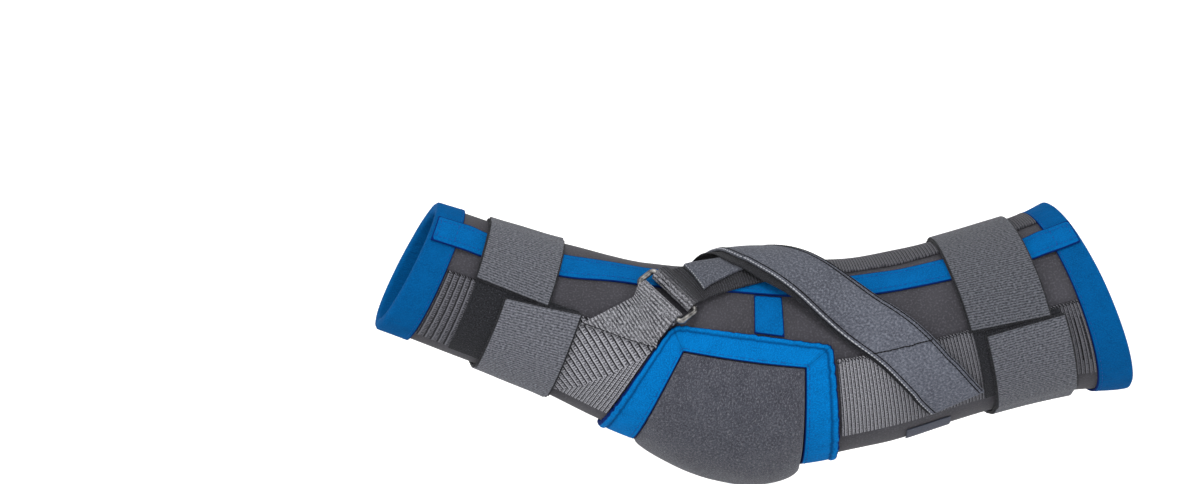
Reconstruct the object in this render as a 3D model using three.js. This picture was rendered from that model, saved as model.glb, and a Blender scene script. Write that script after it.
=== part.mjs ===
import * as THREE from 'three';

// Elbow brace for the left arm: a soft sleeve with side bands, straps and an elbow pad.
// Lengths are in millimetres and angles in degrees; the brace is shown as worn, without the arm.
// The origin is the middle of the elbow inside the sleeve, +X points to the shoulder and +Z up.
// A place on the sleeve is a distance along the arm and an angle round it.
// Angle 0 is the outer side of the arm, 90 the fold of the elbow and -90 the point of the elbow.
// Heights are measured outwards from the outer face of the sleeve.

const forearmLength = 176;
const upperArmLength = 164;
const forearmRise = 19.5;
const upperArmRise = 15.5;
const forearmBendRadius = 210;
const upperArmBendRadius = 285;
const forearmSway = 18;
const upperArmSway = 6;
const wristLean = 4;
const shoulderLean = 7;
const elbowHeight = 98;
const elbowDepth = 80;
const sleeveThickness = 3;
const panelSeam = 3.5;
const crossTapeWidth = 15;
const layerGap = 0.4;

const bindingWidth = 13.5;
const bindingThickness = 1;
const tapeWidth = 13.5;
const tapeThickness = 1;
const bandThickness = 1.4;
const strapWidth = 37;
const strapThickness = 1.7;
const hookThickness = 0.8;
const narrowStrapWidth = 25;
const narrowStrapThickness = 1.5;
const backingThickness = 0.8;
const backingShift = 1.5;
const backingFlare = 8;
const endSlant = 0.05;
const webbingSpread = 3.5;
const tabInset = 4;

const padEdgeThickness = 2.2;
const padCrown = 9.2;
const padBindingWidth = 12;
const padLipHeight = 0.7;
const padLipWidth = 2.6;

const buckleClearance = 0.9;
const buckleDepth = 13;
const buckleWire = 2.8;
const buckleCorner = 2;
const foldTail = 3;

const labelWidth = 20;
const labelHeight = 14;
const labelThickness = 0.6;

// Height and depth of the sleeve as shares of the elbow's, by share of the way to each end.
const sleeveSections = [
  { reach: -1, height: 0.66, depth: 0.68 },
  { reach: -0.75, height: 0.69, depth: 0.74 },
  { reach: -0.51, height: 0.75, depth: 0.84 },
  { reach: -0.3, height: 0.85, depth: 0.93 },
  { reach: 0, height: 0.985, depth: 1 },
  { reach: 0.32, height: 0.915, depth: 1.01 },
  { reach: 0.6, height: 0.87, depth: 1.05 },
  { reach: 0.87, height: 0.895, depth: 1.09 },
  { reach: 1, height: 0.985, depth: 1.12 },
];

// The front tape runs from cuff to cuff beside the fold of the elbow.
const frontTapePath = [
  { reach: -1, angle: 40 },
  { reach: -0.84, angle: 41 },
  { reach: -0.62, angle: 45 },
  { reach: -0.42, angle: 56 },
  { reach: -0.16, angle: 55.5 },
  { reach: 0.13, angle: 49.5 },
  { reach: 0.6, angle: 44.5 },
  { reach: 1, angle: 40.5 },
];

// The check strap leaves the buckle and ends sewn under the cross strap.
const checkStrapPath = [
  { reach: -0.305, angle: 36 },
  { reach: -0.23, angle: 52.5 },
  { reach: -0.135, angle: 61 },
  { reach: -0.03, angle: 67 },
  { reach: 0.075, angle: 72 },
];

// The cross strap climbs from the outer upper arm over the fold to the inner forearm.
const crossStrapPath = [
  { reach: 0.535, angle: -48 },
  { reach: 0.41, angle: 0 },
  { reach: 0.29, angle: 26 },
  { reach: 0.135, angle: 56 },
  { reach: -0.01, angle: 80 },
  { reach: -0.065, angle: 98 },
  { reach: -0.13, angle: 120 },
  { reach: -0.195, angle: 134 },
  { reach: -0.24, angle: 146 },
];

const smooth = THREE.MathUtils.smoothstep;
const mix = THREE.MathUtils.lerp;
const radians = THREE.MathUtils.degToRad;

const bandTop = layerGap + bandThickness;
const overBand = bandTop + layerGap;
const tapeTop = layerGap + tapeThickness;
const overTape = tapeTop + layerGap;
const overSewn = Math.max(overBand, overTape);
const overBinding = layerGap + bindingThickness + layerGap;
const overHook = overBand + hookThickness + layerGap;
const foldRadius = buckleWire / 2 + layerGap + narrowStrapThickness / 2;
const buckleHeight = overTape + narrowStrapThickness / 2 + foldRadius;
const barOffset = (buckleDepth - buckleWire) / 2;
const buckleWidth = narrowStrapWidth + 2 * (buckleClearance + buckleWire);
const overCheckStrap = overSewn + narrowStrapThickness + layerGap;
const overTab = overCheckStrap + narrowStrapThickness + layerGap;

function fromElbow(reach) {
  return reach * (reach < 0 ? forearmLength : upperArmLength);
}

function sectionSlope(index, name) {
  const before = sleeveSections[Math.max(0, index - 1)];
  const after = sleeveSections[Math.min(sleeveSections.length - 1, index + 1)];
  return (after[name] - before[name]) / (fromElbow(after.reach) - fromElbow(before.reach));
}

// Smooth curve through the table of sections.
function sectionShare(along, name) {
  let index = 0;
  while (index < sleeveSections.length - 2 && along > fromElbow(sleeveSections[index + 1].reach)) {
    index += 1;
  }
  const start = fromElbow(sleeveSections[index].reach);
  const span = fromElbow(sleeveSections[index + 1].reach) - start;
  const t = (along - start) / span;
  return (2 * t ** 3 - 3 * t ** 2 + 1) * sleeveSections[index][name]
    + (t ** 3 - 2 * t ** 2 + t) * span * sectionSlope(index, name)
    + (3 * t ** 2 - 2 * t ** 3) * sleeveSections[index + 1][name]
    + (t ** 3 - t ** 2) * span * sectionSlope(index + 1, name);
}

// Middle of the hollow: a bend at the elbow between a straight forearm and upper arm.
function armFrame(along) {
  const side = along < 0 ? -1 : 1;
  const distance = Math.abs(along);
  const rise = radians(along < 0 ? forearmRise : upperArmRise);
  const radius = along < 0 ? forearmBendRadius : upperArmBendRadius;
  const turn = Math.min(distance / radius, rise);
  const straight = distance - turn * radius;
  const length = along < 0 ? forearmLength : upperArmLength;
  const sway = along < 0 ? -forearmSway : upperArmSway;
  const centre = new THREE.Vector3(
    side * (radius * Math.sin(turn) + straight * Math.cos(turn)),
    sway * (distance / length) ** 2,
    radius * (1 - Math.cos(turn)) + straight * Math.sin(turn),
  );
  const ahead = new THREE.Vector3(
    Math.cos(turn),
    2 * side * sway * distance / length ** 2,
    side * Math.sin(turn),
  ).normalize();
  const up = new THREE.Vector3(-side * Math.sin(turn), 0, Math.cos(turn));
  const out = new THREE.Vector3().crossVectors(ahead, up).normalize();
  return { centre, up, out };
}

// The cuffs lean: the ends of the sleeve are not cut square to the arm.
function cuffLean(along, angle) {
  const share = along < 0 ? -along / forearmLength : along / upperArmLength;
  const lean = along < 0 ? wristLean : -shoulderLean;
  return lean * Math.sin(radians(angle)) * smooth(share, 0.8, 1);
}

function onArm(along, angle, height) {
  const place = along + cuffLean(along, angle);
  const { centre, up, out } = armFrame(place);
  const halfDepth = sectionShare(place, 'depth') * elbowDepth / 2;
  const halfHeight = sectionShare(place, 'height') * elbowHeight / 2;
  return centre.clone()
    .addScaledVector(out, (halfDepth + height) * Math.cos(radians(angle)))
    .addScaledVector(up, (halfHeight + height) * Math.sin(radians(angle)));
}

// Millimetres on the sleeve for one millimetre of distance along the arm, and for one degree.
function alongScale(along, angle) {
  return onArm(along + 1, angle, 0).distanceTo(onArm(along - 1, angle, 0)) / 2;
}

function angleScale(along, angle) {
  return onArm(along, angle + 1, 0).distanceTo(onArm(along, angle - 1, 0)) / 2;
}

function curveThrough(path) {
  return new THREE.SplineCurve(path.map((row) => new THREE.Vector2(fromElbow(row.reach), row.angle)));
}

// Place beside a curve on the sleeve, off by a distance across it.
function besideCurve(curve, share, offset) {
  const point = curve.getPointAt(THREE.MathUtils.clamp(share, 0, 1));
  const tangent = curve.getTangentAt(THREE.MathUtils.clamp(share, 0, 1));
  const along = alongScale(point.x, point.y);
  const round = angleScale(point.x, point.y);
  const heading = Math.atan2(tangent.y * round, tangent.x * along);
  return {
    along: point.x + offset * Math.sin(heading) / along,
    angle: point.y - offset * Math.cos(heading) / round,
  };
}

// Closed solid through rings of points; an open run of rings is capped at both ends.
function solidThrough(rings, joined) {
  const count = rings[0].length;
  const positions = rings.flat().flatMap((point) => [point.x, point.y, point.z]);
  const faces = [];
  const lastRing = joined ? rings.length : rings.length - 1;
  for (let ring = 0; ring < lastRing; ring += 1) {
    const next = (ring + 1) % rings.length;
    for (let step = 0; step < count; step += 1) {
      const a = ring * count + step;
      const b = ring * count + (step + 1) % count;
      const c = next * count + (step + 1) % count;
      const d = next * count + step;
      faces.push(a, b, c, a, c, d);
    }
  }
  if (!joined) {
    const end = (rings.length - 1) * count;
    for (let step = 0; step < count / 2 - 1; step += 1) {
      const opposite = count - 1 - step;
      faces.push(step, opposite, step + 1, step + 1, opposite, opposite - 1);
      faces.push(end + step, end + step + 1, end + opposite);
      faces.push(end + step + 1, end + opposite - 1, end + opposite);
    }
  }
  const geometry = new THREE.BufferGeometry();
  geometry.setAttribute('position', new THREE.Float32BufferAttribute(positions, 3));
  geometry.setIndex(enclosedVolume(positions, faces) < 0 ? faces.reverse() : faces);
  geometry.computeVertexNormals();
  return geometry;
}

function enclosedVolume(positions, faces) {
  const corner = (index) => new THREE.Vector3().fromArray(positions, index * 3);
  let volume = 0;
  for (let face = 0; face < faces.length; face += 3) {
    const normal = new THREE.Vector3().crossVectors(corner(faces[face + 1]), corner(faces[face + 2]));
    volume += corner(faces[face]).dot(normal) / 6;
  }
  return volume;
}

// Strip of cloth laid on the sleeve; place(u, v) gives its places, u along it and v across it.
function strip(steps, rows, place, underside, thickness) {
  const rings = [];
  for (let step = 0; step <= steps; step += 1) {
    const lower = [];
    const upper = [];
    for (let row = 0; row <= rows; row += 1) {
      const u = step / steps;
      const v = row / rows;
      const { along, angle } = place(u, v);
      const bottom = underside(along, angle, u);
      const top = bottom + (typeof thickness === 'function' ? thickness(u, v) : thickness);
      lower.push(onArm(along, angle, bottom));
      upper.unshift(onArm(along, angle, top));
    }
    rings.push([...lower, ...upper]);
  }
  return solidThrough(rings, false);
}

function evenSteps(start, end, longest) {
  const count = Math.ceil(Math.abs(end - start) / longest);
  return Array.from({ length: count }, (_, index) => mix(start, end, index / count));
}

// Panel of the sleeve from a cuff to the seam at the elbow, where the two panels meet edge to edge.
function sleevePanel(side) {
  const cuff = fromElbow(side);
  const bend = side < 0
    ? -forearmBendRadius * radians(forearmRise) - 8
    : upperArmBendRadius * radians(upperArmRise) + 8;
  const seam = panelSeam + side * layerGap / 2;
  const places = [...evenSteps(cuff, bend, 22), ...evenSteps(bend, seam, 17), seam];
  const rings = [];
  for (let angle = 0; angle < 360; angle += 10) {
    const outside = places.map((along) => onArm(along, angle, 0));
    const inside = places.map((along) => onArm(along, angle, -sleeveThickness)).reverse();
    rings.push([...outside, ...inside]);
  }
  return solidThrough(rings, true);
}

// Tape folded over the end of the sleeve; side is -1 at the wrist and 1 at the shoulder.
function cuffBinding(side) {
  const end = side < 0 ? -forearmLength : upperArmLength;
  const lip = layerGap + bindingThickness;
  const profile = [
    { back: bindingWidth, height: layerGap },
    { back: bindingWidth, height: lip },
    { back: 0, height: lip },
    { back: -lip, height: -sleeveThickness * 0.2 },
    { back: -lip, height: -sleeveThickness * 0.8 },
    { back: 0, height: -sleeveThickness - lip },
    { back: bindingWidth, height: -sleeveThickness - lip },
    { back: bindingWidth, height: -sleeveThickness - layerGap },
    { back: -layerGap, height: -sleeveThickness - layerGap },
    { back: -layerGap, height: layerGap },
  ];
  const rings = [];
  for (let angle = 0; angle < 360; angle += 10) {
    rings.push(profile.map((row) => onArm(end - side * row.back, angle, row.height)));
  }
  return solidThrough(rings, true);
}

// The front tape laps over both cuff bindings.
function frontTape() {
  const curve = curveThrough(frontTapePath);
  const place = (u, v) => besideCurve(curve, u, (v - 0.5) * tapeWidth);
  const underside = (along) => {
    const end = along < 0 ? forearmLength : upperArmLength;
    const fromEnd = end - Math.abs(along);
    const lap = 1 - smooth(fromEnd, bindingWidth + 3, bindingWidth + 15);
    return mix(layerGap, overBinding, lap);
  };
  return strip(36, 2, place, underside, tapeThickness);
}

// Lower edge of the front tape at a distance along the arm.
function tapeLowerEdge(along) {
  const curve = curveThrough(frontTapePath);
  let share = 0;
  while (share < 1 && besideCurve(curve, share, tapeWidth / 2).along < along) {
    share += 0.005;
  }
  return besideCurve(curve, share, tapeWidth / 2).angle;
}

// Short tape over the panel seam, from the front tape down to the elbow pad.
function crossTape() {
  const place = (u, v) => {
    const along = panelSeam + (u - 0.5) * crossTapeWidth;
    const gap = layerGap / angleScale(along, 30);
    const top = tapeLowerEdge(along) - 2 * gap;
    const bottom = padTopAngle(along) + 2 * gap;
    return { along, angle: mix(bottom, top, v) };
  };
  return strip(3, 3, place, () => layerGap, tapeThickness);
}

const padMiddleAngle = -90;
const padHalfAngle = 110;

function padLeftEdge(angle) {
  const share = Math.abs(angle - padMiddleAngle) / padHalfAngle;
  return fromElbow(-0.37) - fromElbow(-0.131) * share ** 2.3;
}

function padRightEdge(angle) {
  const share = Math.abs(angle - padMiddleAngle) / padHalfAngle;
  return fromElbow(0.185) + fromElbow(0.01) * share;
}

// Place on the elbow pad by share from its wrist side and share from its outer top edge.
function padPlace(across, round) {
  const halfAngle = padHalfAngle - 10 * across ** 2;
  const angle = padMiddleAngle + halfAngle * (1 - 2 * round);
  return { along: mix(padLeftEdge(angle), padRightEdge(angle), across), angle };
}

function padTopAngle(along) {
  const across = (along - padLeftEdge(20)) / (padRightEdge(20) - padLeftEdge(20));
  return padPlace(across, 0).angle;
}

// Size of the pad, taken across its middle and round the arm.
function padSize() {
  return {
    across: (padRightEdge(padMiddleAngle) - padLeftEdge(padMiddleAngle)) * 1.05,
    round: 2 * padHalfAngle * angleScale(0, -45),
  };
}

function elbowPad() {
  const size = padSize();
  const insetAcross = (padBindingWidth + layerGap * 1.5) / size.across;
  const insetRound = (padBindingWidth + layerGap * 1.5) / size.round;
  const place = (u, v) => padPlace(mix(insetAcross, 1 - insetAcross, v), mix(insetRound, 1 - insetRound, u));
  const thickness = (u, v) => {
    const acrossDome = Math.max(0, Math.sin(Math.PI * v ** 1.5)) ** 0.4;
    const dome = Math.max(0, Math.sin(Math.PI * u)) ** 0.8 * acrossDome;
    return padEdgeThickness + padCrown * dome;
  };
  return strip(20, 8, place, () => layerGap, thickness);
}

// Points round a rectangle with rounded corners, centred on the origin.
function roundedOutline(width, height, radius, sideSteps, cornerSteps) {
  const points = [];
  for (let side = 0; side < 4; side += 1) {
    const sign = { x: side === 0 || side === 3 ? 1 : -1, y: side < 2 ? 1 : -1 };
    for (let step = 0; step <= cornerSteps; step += 1) {
      const angle = radians(90 * side + 90 * step / cornerSteps);
      points.push({
        x: sign.x * (width / 2 - radius) + radius * Math.cos(angle),
        y: sign.y * (height / 2 - radius) + radius * Math.sin(angle),
      });
    }
    const last = points[points.length - 1];
    const steps = side % 2 === 0 ? sideSteps.x : sideSteps.y;
    for (let step = 1; step < steps; step += 1) {
      const slide = 1 - 2 * step / steps;
      points.push(side % 2 === 0 ? { x: last.x * slide, y: last.y } : { x: last.x, y: last.y * slide });
    }
  }
  return points;
}

// Flat frame sewn round the pad, with a raised outer lip.
function padBinding() {
  const size = padSize();
  const steps = { x: 9, y: 22 };
  const innerAcross = size.across - 2 * padBindingWidth;
  const innerRound = size.round - 2 * padBindingWidth;
  const outer = roundedOutline(size.across, size.round, 9, steps, 3);
  const inner = roundedOutline(innerAcross, innerRound, 0.8, steps, 3);
  const lip = padLipWidth / padBindingWidth;
  const top = layerGap + padEdgeThickness;
  const profile = [
    { inward: 0, height: layerGap },
    { inward: 0, height: top + padLipHeight * 0.5 },
    { inward: lip * 0.4, height: top + padLipHeight },
    { inward: lip, height: top },
    { inward: 0.6, height: top },
    { inward: 1, height: top },
    { inward: 1, height: layerGap },
    { inward: 0.5, height: layerGap },
  ];
  const rings = outer.map((edge, index) => profile.map((row) => {
    const x = mix(edge.x, inner[index].x, row.inward);
    const y = mix(edge.y, inner[index].y, row.inward);
    const { along, angle } = padPlace(x / size.across + 0.5, y / size.round + 0.5);
    return onArm(along, angle, row.height);
  }));
  return solidThrough(rings, true);
}

// Ribbed side band between a cuff and the elbow pad, from one angle to another.
function forearmBand(topAngle, bottomAngle) {
  const start = -forearmLength + bindingWidth + layerGap;
  const place = (u, v) => {
    const angle = mix(topAngle, bottomAngle, v);
    return { along: mix(start, padLeftEdge(wrapped(angle)) - layerGap * 1.5, u), angle };
  };
  return strip(6, 8, place, () => layerGap, bandThickness);
}

function armBand(topAngle, bottomAngle) {
  const end = upperArmLength - bindingWidth - layerGap;
  const place = (u, v) => {
    const angle = mix(topAngle, bottomAngle, v);
    return { along: mix(padRightEdge(wrapped(angle)) + layerGap * 2.5, end, u), angle };
  };
  return strip(6, 7, place, () => layerGap, bandThickness);
}

// The same angle as a number below 110, so that both halves of the pad measure alike.
function wrapped(angle) {
  return angle > 110 ? angle - 360 : angle;
}

const forearmStrapStart = fromElbow(-0.735);
const forearmStrapEnd = fromElbow(-0.64);
const armStrapStart = fromElbow(0.712);
const armStrapEnd = fromElbow(0.75);

// Wide strap wound once round the arm; its ends meet on the outer side, one beside the other.
// It settles onto the sleeve where no band lies under it, between the angles in settled.
function wideStrap(start, end, upper, lower, settled) {
  const place = (u, v) => {
    const angle = mix(mix(upper.left, upper.right, v), mix(lower.left, lower.right, v) + 360, u);
    const middle = mix(start, end, smooth(angle, 70, 290));
    return { along: middle + (v - 0.5) * strapWidth, angle };
  };
  const underside = (along, angle) => {
    const overPatch = 1 - smooth(angle, 15, 36) + smooth(angle, 284, 300);
    const dips = settled.map((dip) => smooth(angle, dip.from, dip.from + 14) - smooth(angle, dip.to - 14, dip.to));
    const settling = Math.max(...dips);
    return mix(mix(overBand, overHook, overPatch), layerGap * 2, settling);
  };
  return strip(38, 2, place, underside, strapThickness);
}

function forearmStrap() {
  return wideStrap(forearmStrapStart, forearmStrapEnd, { left: 10, right: 7.4 }, { left: 2.5, right: 8.5 }, [
    { from: 62, to: 164 },
    { from: 242, to: 296 },
  ]);
}

function armStrap() {
  return wideStrap(armStrapStart, armStrapEnd, { left: 0, right: -3.4 }, { left: -5.6, right: -5.2 }, [
    { from: 128, to: 250 },
    { from: 252, to: 304 },
  ]);
}

// Hook patch sewn on a side band under both ends of a wide strap.
function hookPatch(first, last, topAngle, bottomAngle) {
  const place = (u, v) => ({ along: mix(first, last, u), angle: mix(topAngle, bottomAngle, v) });
  return strip(4, 9, place, () => overBand, hookThickness);
}

function forearmHookPatch() {
  const first = forearmStrapStart - strapWidth / 2 + 0.5;
  const last = forearmStrapEnd + strapWidth / 2 - 1;
  return hookPatch(first, last, 11, -56);
}

function armHookPatch() {
  const first = armStrapStart - strapWidth / 2 + 0.5;
  const last = armStrapEnd + strapWidth / 2 - 1;
  return hookPatch(first, last, -0.5, -48);
}

const buckleAlong = fromElbow(-0.305);
const buckleAngle = 36;
const buckleHeading = 50;

// Point in the flat frame of the buckle: along the narrow strap, across it and outwards.
function byBuckle(ahead, across, height) {
  const centre = onArm(buckleAlong, buckleAngle, 0);
  const forward = onArm(buckleAlong + 1, buckleAngle, 0).sub(centre).normalize();
  const round = onArm(buckleAlong, buckleAngle + 1, 0).sub(centre);
  round.addScaledVector(forward, -round.dot(forward)).normalize();
  const outward = new THREE.Vector3().crossVectors(round, forward).normalize();
  const turn = radians(buckleHeading);
  const strapAxis = forward.clone().multiplyScalar(Math.cos(turn)).addScaledVector(round, Math.sin(turn));
  const barAxis = forward.clone().multiplyScalar(Math.sin(turn)).addScaledVector(round, -Math.cos(turn));
  if (outward.dot(onArm(buckleAlong, buckleAngle, 1).sub(centre)) < 0) {
    outward.negate();
  }
  return centre
    .addScaledVector(strapAxis, ahead)
    .addScaledVector(barAxis, across)
    .addScaledVector(outward, height);
}

function buckle() {
  const steps = { x: 2, y: 3 };
  const middle = roundedOutline(buckleDepth - buckleWire, buckleWidth - buckleWire, buckleCorner, steps, 3);
  const outline = roundedOutline(buckleDepth, buckleWidth, buckleCorner + buckleWire / 2, steps, 3);
  const rings = middle.map((point, index) => {
    const ring = [];
    for (let turn = 0; turn < 360; turn += 45) {
      const outwards = Math.cos(radians(turn));
      const x = point.x + (outline[index].x - point.x) * outwards;
      const y = point.y + (outline[index].y - point.y) * outwards;
      ring.push(byBuckle(x, y, buckleHeight + buckleWire / 2 * Math.sin(radians(turn))));
    }
    return ring;
  });
  return solidThrough(rings, true);
}

// Rows of the fold round a bar, side view: distance past the bar's middle, and height.
function foldRows() {
  const rows = [{ past: -foldTail, height: buckleHeight - foldRadius }];
  for (let turn = -90; turn <= 120; turn += 30) {
    rows.push({
      past: foldRadius * Math.cos(radians(turn)),
      height: buckleHeight + foldRadius * Math.sin(radians(turn)),
    });
  }
  return rows;
}

// Rows from the top of the fold down to the level of the strap.
function rampRows(top, rampLength, level) {
  return [0.4, 0.75, 1].map((share) => ({
    past: mix(top.past, -rampLength, share),
    height: mix(top.height, level, share),
  }));
}

// Sheet through side-view rows; point(row, across, height) places each corner of it.
function foldedSheet(rows, point) {
  const rings = rows.map((row, index) => {
    const before = rows[Math.max(0, index - 1)];
    const after = rows[Math.min(rows.length - 1, index + 1)];
    const slope = new THREE.Vector2(after.past - before.past, after.height - before.height).normalize();
    const half = narrowStrapThickness / 2;
    const inner = [];
    const outer = [];
    for (let step = 0; step <= 4; step += 1) {
      const across = (step / 4 - 0.5) * narrowStrapWidth;
      inner.push(point(row, across, row.past - slope.y * half, row.height + slope.x * half));
      outer.unshift(point(row, across, row.past + slope.y * half, row.height - slope.x * half));
    }
    return [...inner, ...outer];
  });
  return solidThrough(rings, false);
}

// Webbing folded round the wrist-side bar of the buckle; it spreads towards its seam on the band.
function buckleWebbing() {
  const rows = foldRows();
  const rampLength = 10;
  const level = overBand + narrowStrapThickness / 2;
  rows.push(...rampRows(rows[rows.length - 1], rampLength, level));
  for (const share of [0.33, 0.66, 1]) {
    rows.push({ past: -rampLength - share, height: level, base: share });
  }
  const turn = radians(buckleHeading);
  const degree = angleScale(buckleAlong, buckleAngle);
  const baseAngle = 3;
  const point = (row, across, past, height) => {
    const start = ((baseAngle - buckleAngle) * degree + across * Math.cos(turn)) / Math.sin(turn);
    const rampEnd = -barOffset - rampLength;
    const ahead = row.base ? mix(rampEnd, start, row.base) : past - barOffset;
    const spread = webbingSpread * (0.5 - across / narrowStrapWidth) * (row.base || 0);
    const along = buckleAlong + ahead * Math.cos(turn) + across * Math.sin(turn) - spread;
    const angle = buckleAngle + (ahead * Math.sin(turn) - across * Math.cos(turn)) / degree;
    const flat = smooth(ahead, rampEnd, -barOffset - 2);
    return onArm(along, angle, height).lerp(byBuckle(ahead, across, height), flat);
  };
  return foldedSheet(rows, point);
}

// Strap folded round the other bar and laid over the front tape towards the fold of the elbow.
function checkStrap() {
  const rows = foldRows();
  const rampLength = 12;
  const level = overSewn + narrowStrapThickness / 2;
  rows.push(...rampRows(rows[rows.length - 1], rampLength, level));
  const curve = curveThrough(checkStrapPath);
  const length = curve.getLength();
  const steps = 12;
  const rest = length - barOffset - rampLength;
  for (let step = 1; step <= steps; step += 1) {
    rows.push({ past: -rampLength - rest * step / steps, height: level });
  }
  const point = (row, across, past, height) => {
    const ahead = barOffset - past;
    const { along, angle } = besideCurve(curve, ahead / length, across);
    const flat = 1 - smooth(ahead, barOffset + 3, barOffset + rampLength);
    return onArm(along, angle, height).lerp(byBuckle(ahead, across, height), flat);
  };
  return foldedSheet(rows, point);
}

// Free end of the check strap, lying back on it beside the buckle.
function strapTab() {
  const curve = curveThrough(checkStrapPath);
  const length = curve.getLength();
  const place = (u, v) => {
    const start = barOffset + 25;
    const lowerEdge = narrowStrapWidth / 2 - tabInset * mix(1, 2.2, u);
    const offset = mix(-narrowStrapWidth / 2 + 1, lowerEdge, v);
    return besideCurve(curve, mix(start, start + 23, u) / length, offset);
  };
  return strip(6, 4, place, () => overCheckStrap, narrowStrapThickness);
}

// The cross strap lies on the bands at its ends and rides over the check strap at the fold.
function crossStrapLift(angle) {
  const overFold = smooth(angle, 16, 50) - smooth(angle, 108, 136);
  return mix(overBand, overTab, overFold);
}

// Strip along the cross strap; edges(u) gives how far its two edges lie from the middle line.
// Its lower end is cut on a slant, along the edge of the band.
function crossStrapStrip(edges, lower, thickness) {
  const curve = curveThrough(crossStrapPath);
  const place = (u, v) => {
    const { left, right } = edges(u);
    const share = mix(endSlant * (1 - v), 1, u);
    return besideCurve(curve, share, mix(left, right, v));
  };
  const underside = (along, angle, u) => lower + crossStrapLift(curve.getPointAt(u).y);
  return strip(30, 6, place, underside, thickness);
}

function crossStrap() {
  const half = narrowStrapWidth / 2;
  return crossStrapStrip(() => ({ left: -half, right: half }), backingThickness + layerGap, narrowStrapThickness);
}

// The backing shows along one edge of the cross strap and widens at the fold.
function crossStrapBacking() {
  const half = narrowStrapWidth / 2;
  const edges = (u) => ({
    left: -half - backingShift - backingFlare * smooth(u, 0.42, 0.58),
    right: half - backingShift,
  });
  return crossStrapStrip(edges, 0, backingThickness);
}

// Bare woven label under the upper arm.
function label() {
  const place = (u, v) => {
    const along = fromElbow(0.38) + labelWidth * u;
    return { along, angle: -62 - labelHeight * v / angleScale(along, -70) };
  };
  return strip(2, 3, place, () => layerGap, labelThickness);
}

const group = new THREE.Group();
group.name = 'elbow_brace';

function add(name, geometry, color, roughness, metalness) {
  const material = new THREE.MeshStandardMaterial({ color, roughness, metalness });
  material.name = `${name}_finish`;
  const mesh = new THREE.Mesh(geometry, material);
  mesh.name = name;
  group.add(mesh);
}

const blue = 0x0068bb;
add('forearm_sleeve', sleevePanel(-1), 0x454243, 0.9, 0);
add('arm_sleeve', sleevePanel(1), 0x454243, 0.9, 0);
add('wrist_binding', cuffBinding(-1), blue, 0.8, 0);
add('arm_binding', cuffBinding(1), blue, 0.8, 0);
add('front_tape', frontTape(), blue, 0.8, 0);
add('cross_tape', crossTape(), blue, 0.8, 0);
add('elbow_pad', elbowPad(), 0x4f4d55, 0.95, 0);
add('pad_binding', padBinding(), blue, 0.8, 0);
add('forearm_band_outer', forearmBand(9, -57), 0x4a4749, 0.9, 0);
add('forearm_band_inner', forearmBand(171, 237), 0x4a4749, 0.9, 0);
add('arm_band_outer', armBand(1, -50), 0x4a4749, 0.9, 0);
add('arm_band_inner', armBand(118, 62), 0x4a4749, 0.9, 0);
add('forearm_strap', forearmStrap(), 0x6b6f75, 0.85, 0);
add('arm_strap', armStrap(), 0x5f6268, 0.85, 0);
add('forearm_hook_patch', forearmHookPatch(), 0x2b2b2d, 1, 0);
add('arm_hook_patch', armHookPatch(), 0x2b2b2d, 1, 0);
add('buckle', buckle(), 0x5a5754, 0.35, 1);
add('buckle_webbing', buckleWebbing(), 0x7a777a, 0.85, 0);
add('check_strap', checkStrap(), 0x3a3837, 0.9, 0);
add('strap_tab', strapTab(), 0x5d6065, 0.8, 0);
add('cross_strap', crossStrap(), 0x5c5f65, 0.8, 0);
add('cross_strap_backing', crossStrapBacking(), 0x1d1d1f, 0.95, 0);
add('label', label(), 0x5f6472, 0.8, 0);

export default group;
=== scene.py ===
import bisect
import math

import bmesh
import bpy
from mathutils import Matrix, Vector, noise


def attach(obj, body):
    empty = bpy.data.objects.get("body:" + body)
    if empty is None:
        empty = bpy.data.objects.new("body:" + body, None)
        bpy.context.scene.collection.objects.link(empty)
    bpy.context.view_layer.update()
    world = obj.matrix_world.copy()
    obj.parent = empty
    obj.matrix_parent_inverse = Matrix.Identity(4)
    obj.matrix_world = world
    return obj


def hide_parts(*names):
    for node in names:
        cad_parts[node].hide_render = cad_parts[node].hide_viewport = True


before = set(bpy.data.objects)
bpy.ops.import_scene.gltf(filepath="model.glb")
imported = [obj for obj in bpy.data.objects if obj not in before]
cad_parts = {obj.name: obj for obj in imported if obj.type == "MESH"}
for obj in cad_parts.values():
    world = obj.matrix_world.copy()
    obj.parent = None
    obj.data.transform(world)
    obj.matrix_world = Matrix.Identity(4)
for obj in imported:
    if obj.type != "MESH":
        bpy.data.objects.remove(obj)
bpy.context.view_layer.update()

# Elbow brace for the left side, dressed over its CAD solids. Sizes are millimetres and degrees here
# and become metres where a mesh is made. +X points to the shoulder and +Z up.

# Sleeve: a bent tube of 3 mm neoprene with charcoal jersey on both faces, open at both ends, in two
# panels that meet edge to edge at the elbow.
#
# Every piece lies on it. A place is a distance along it, negative in its narrow half, and an angle
# round it: 0 is the outer side, 90 the fold of the elbow and -90 the point of the elbow. Heights are
# measured outwards from the sleeve's outer face.
FOREARM_LENGTH = 176.0
UPPER_ARM_LENGTH = 164.0
FOREARM_RISE = 19.5
UPPER_ARM_RISE = 15.5
FOREARM_BEND_RADIUS = 210.0
UPPER_ARM_BEND_RADIUS = 285.0
FOREARM_SWAY = 18.0
UPPER_ARM_SWAY = 6.0
WRIST_LEAN = 4.0
SHOULDER_LEAN = 7.0
ELBOW_HEIGHT = 98.0
ELBOW_DEPTH = 80.0
SLEEVE_THICKNESS = 3.0
LAYER_GAP = 0.4
CLOTH_SWELL = 0.45
SWELL_LENGTH = 22
SWELL_ROUND = 2.1
METRES = 0.001

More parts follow.
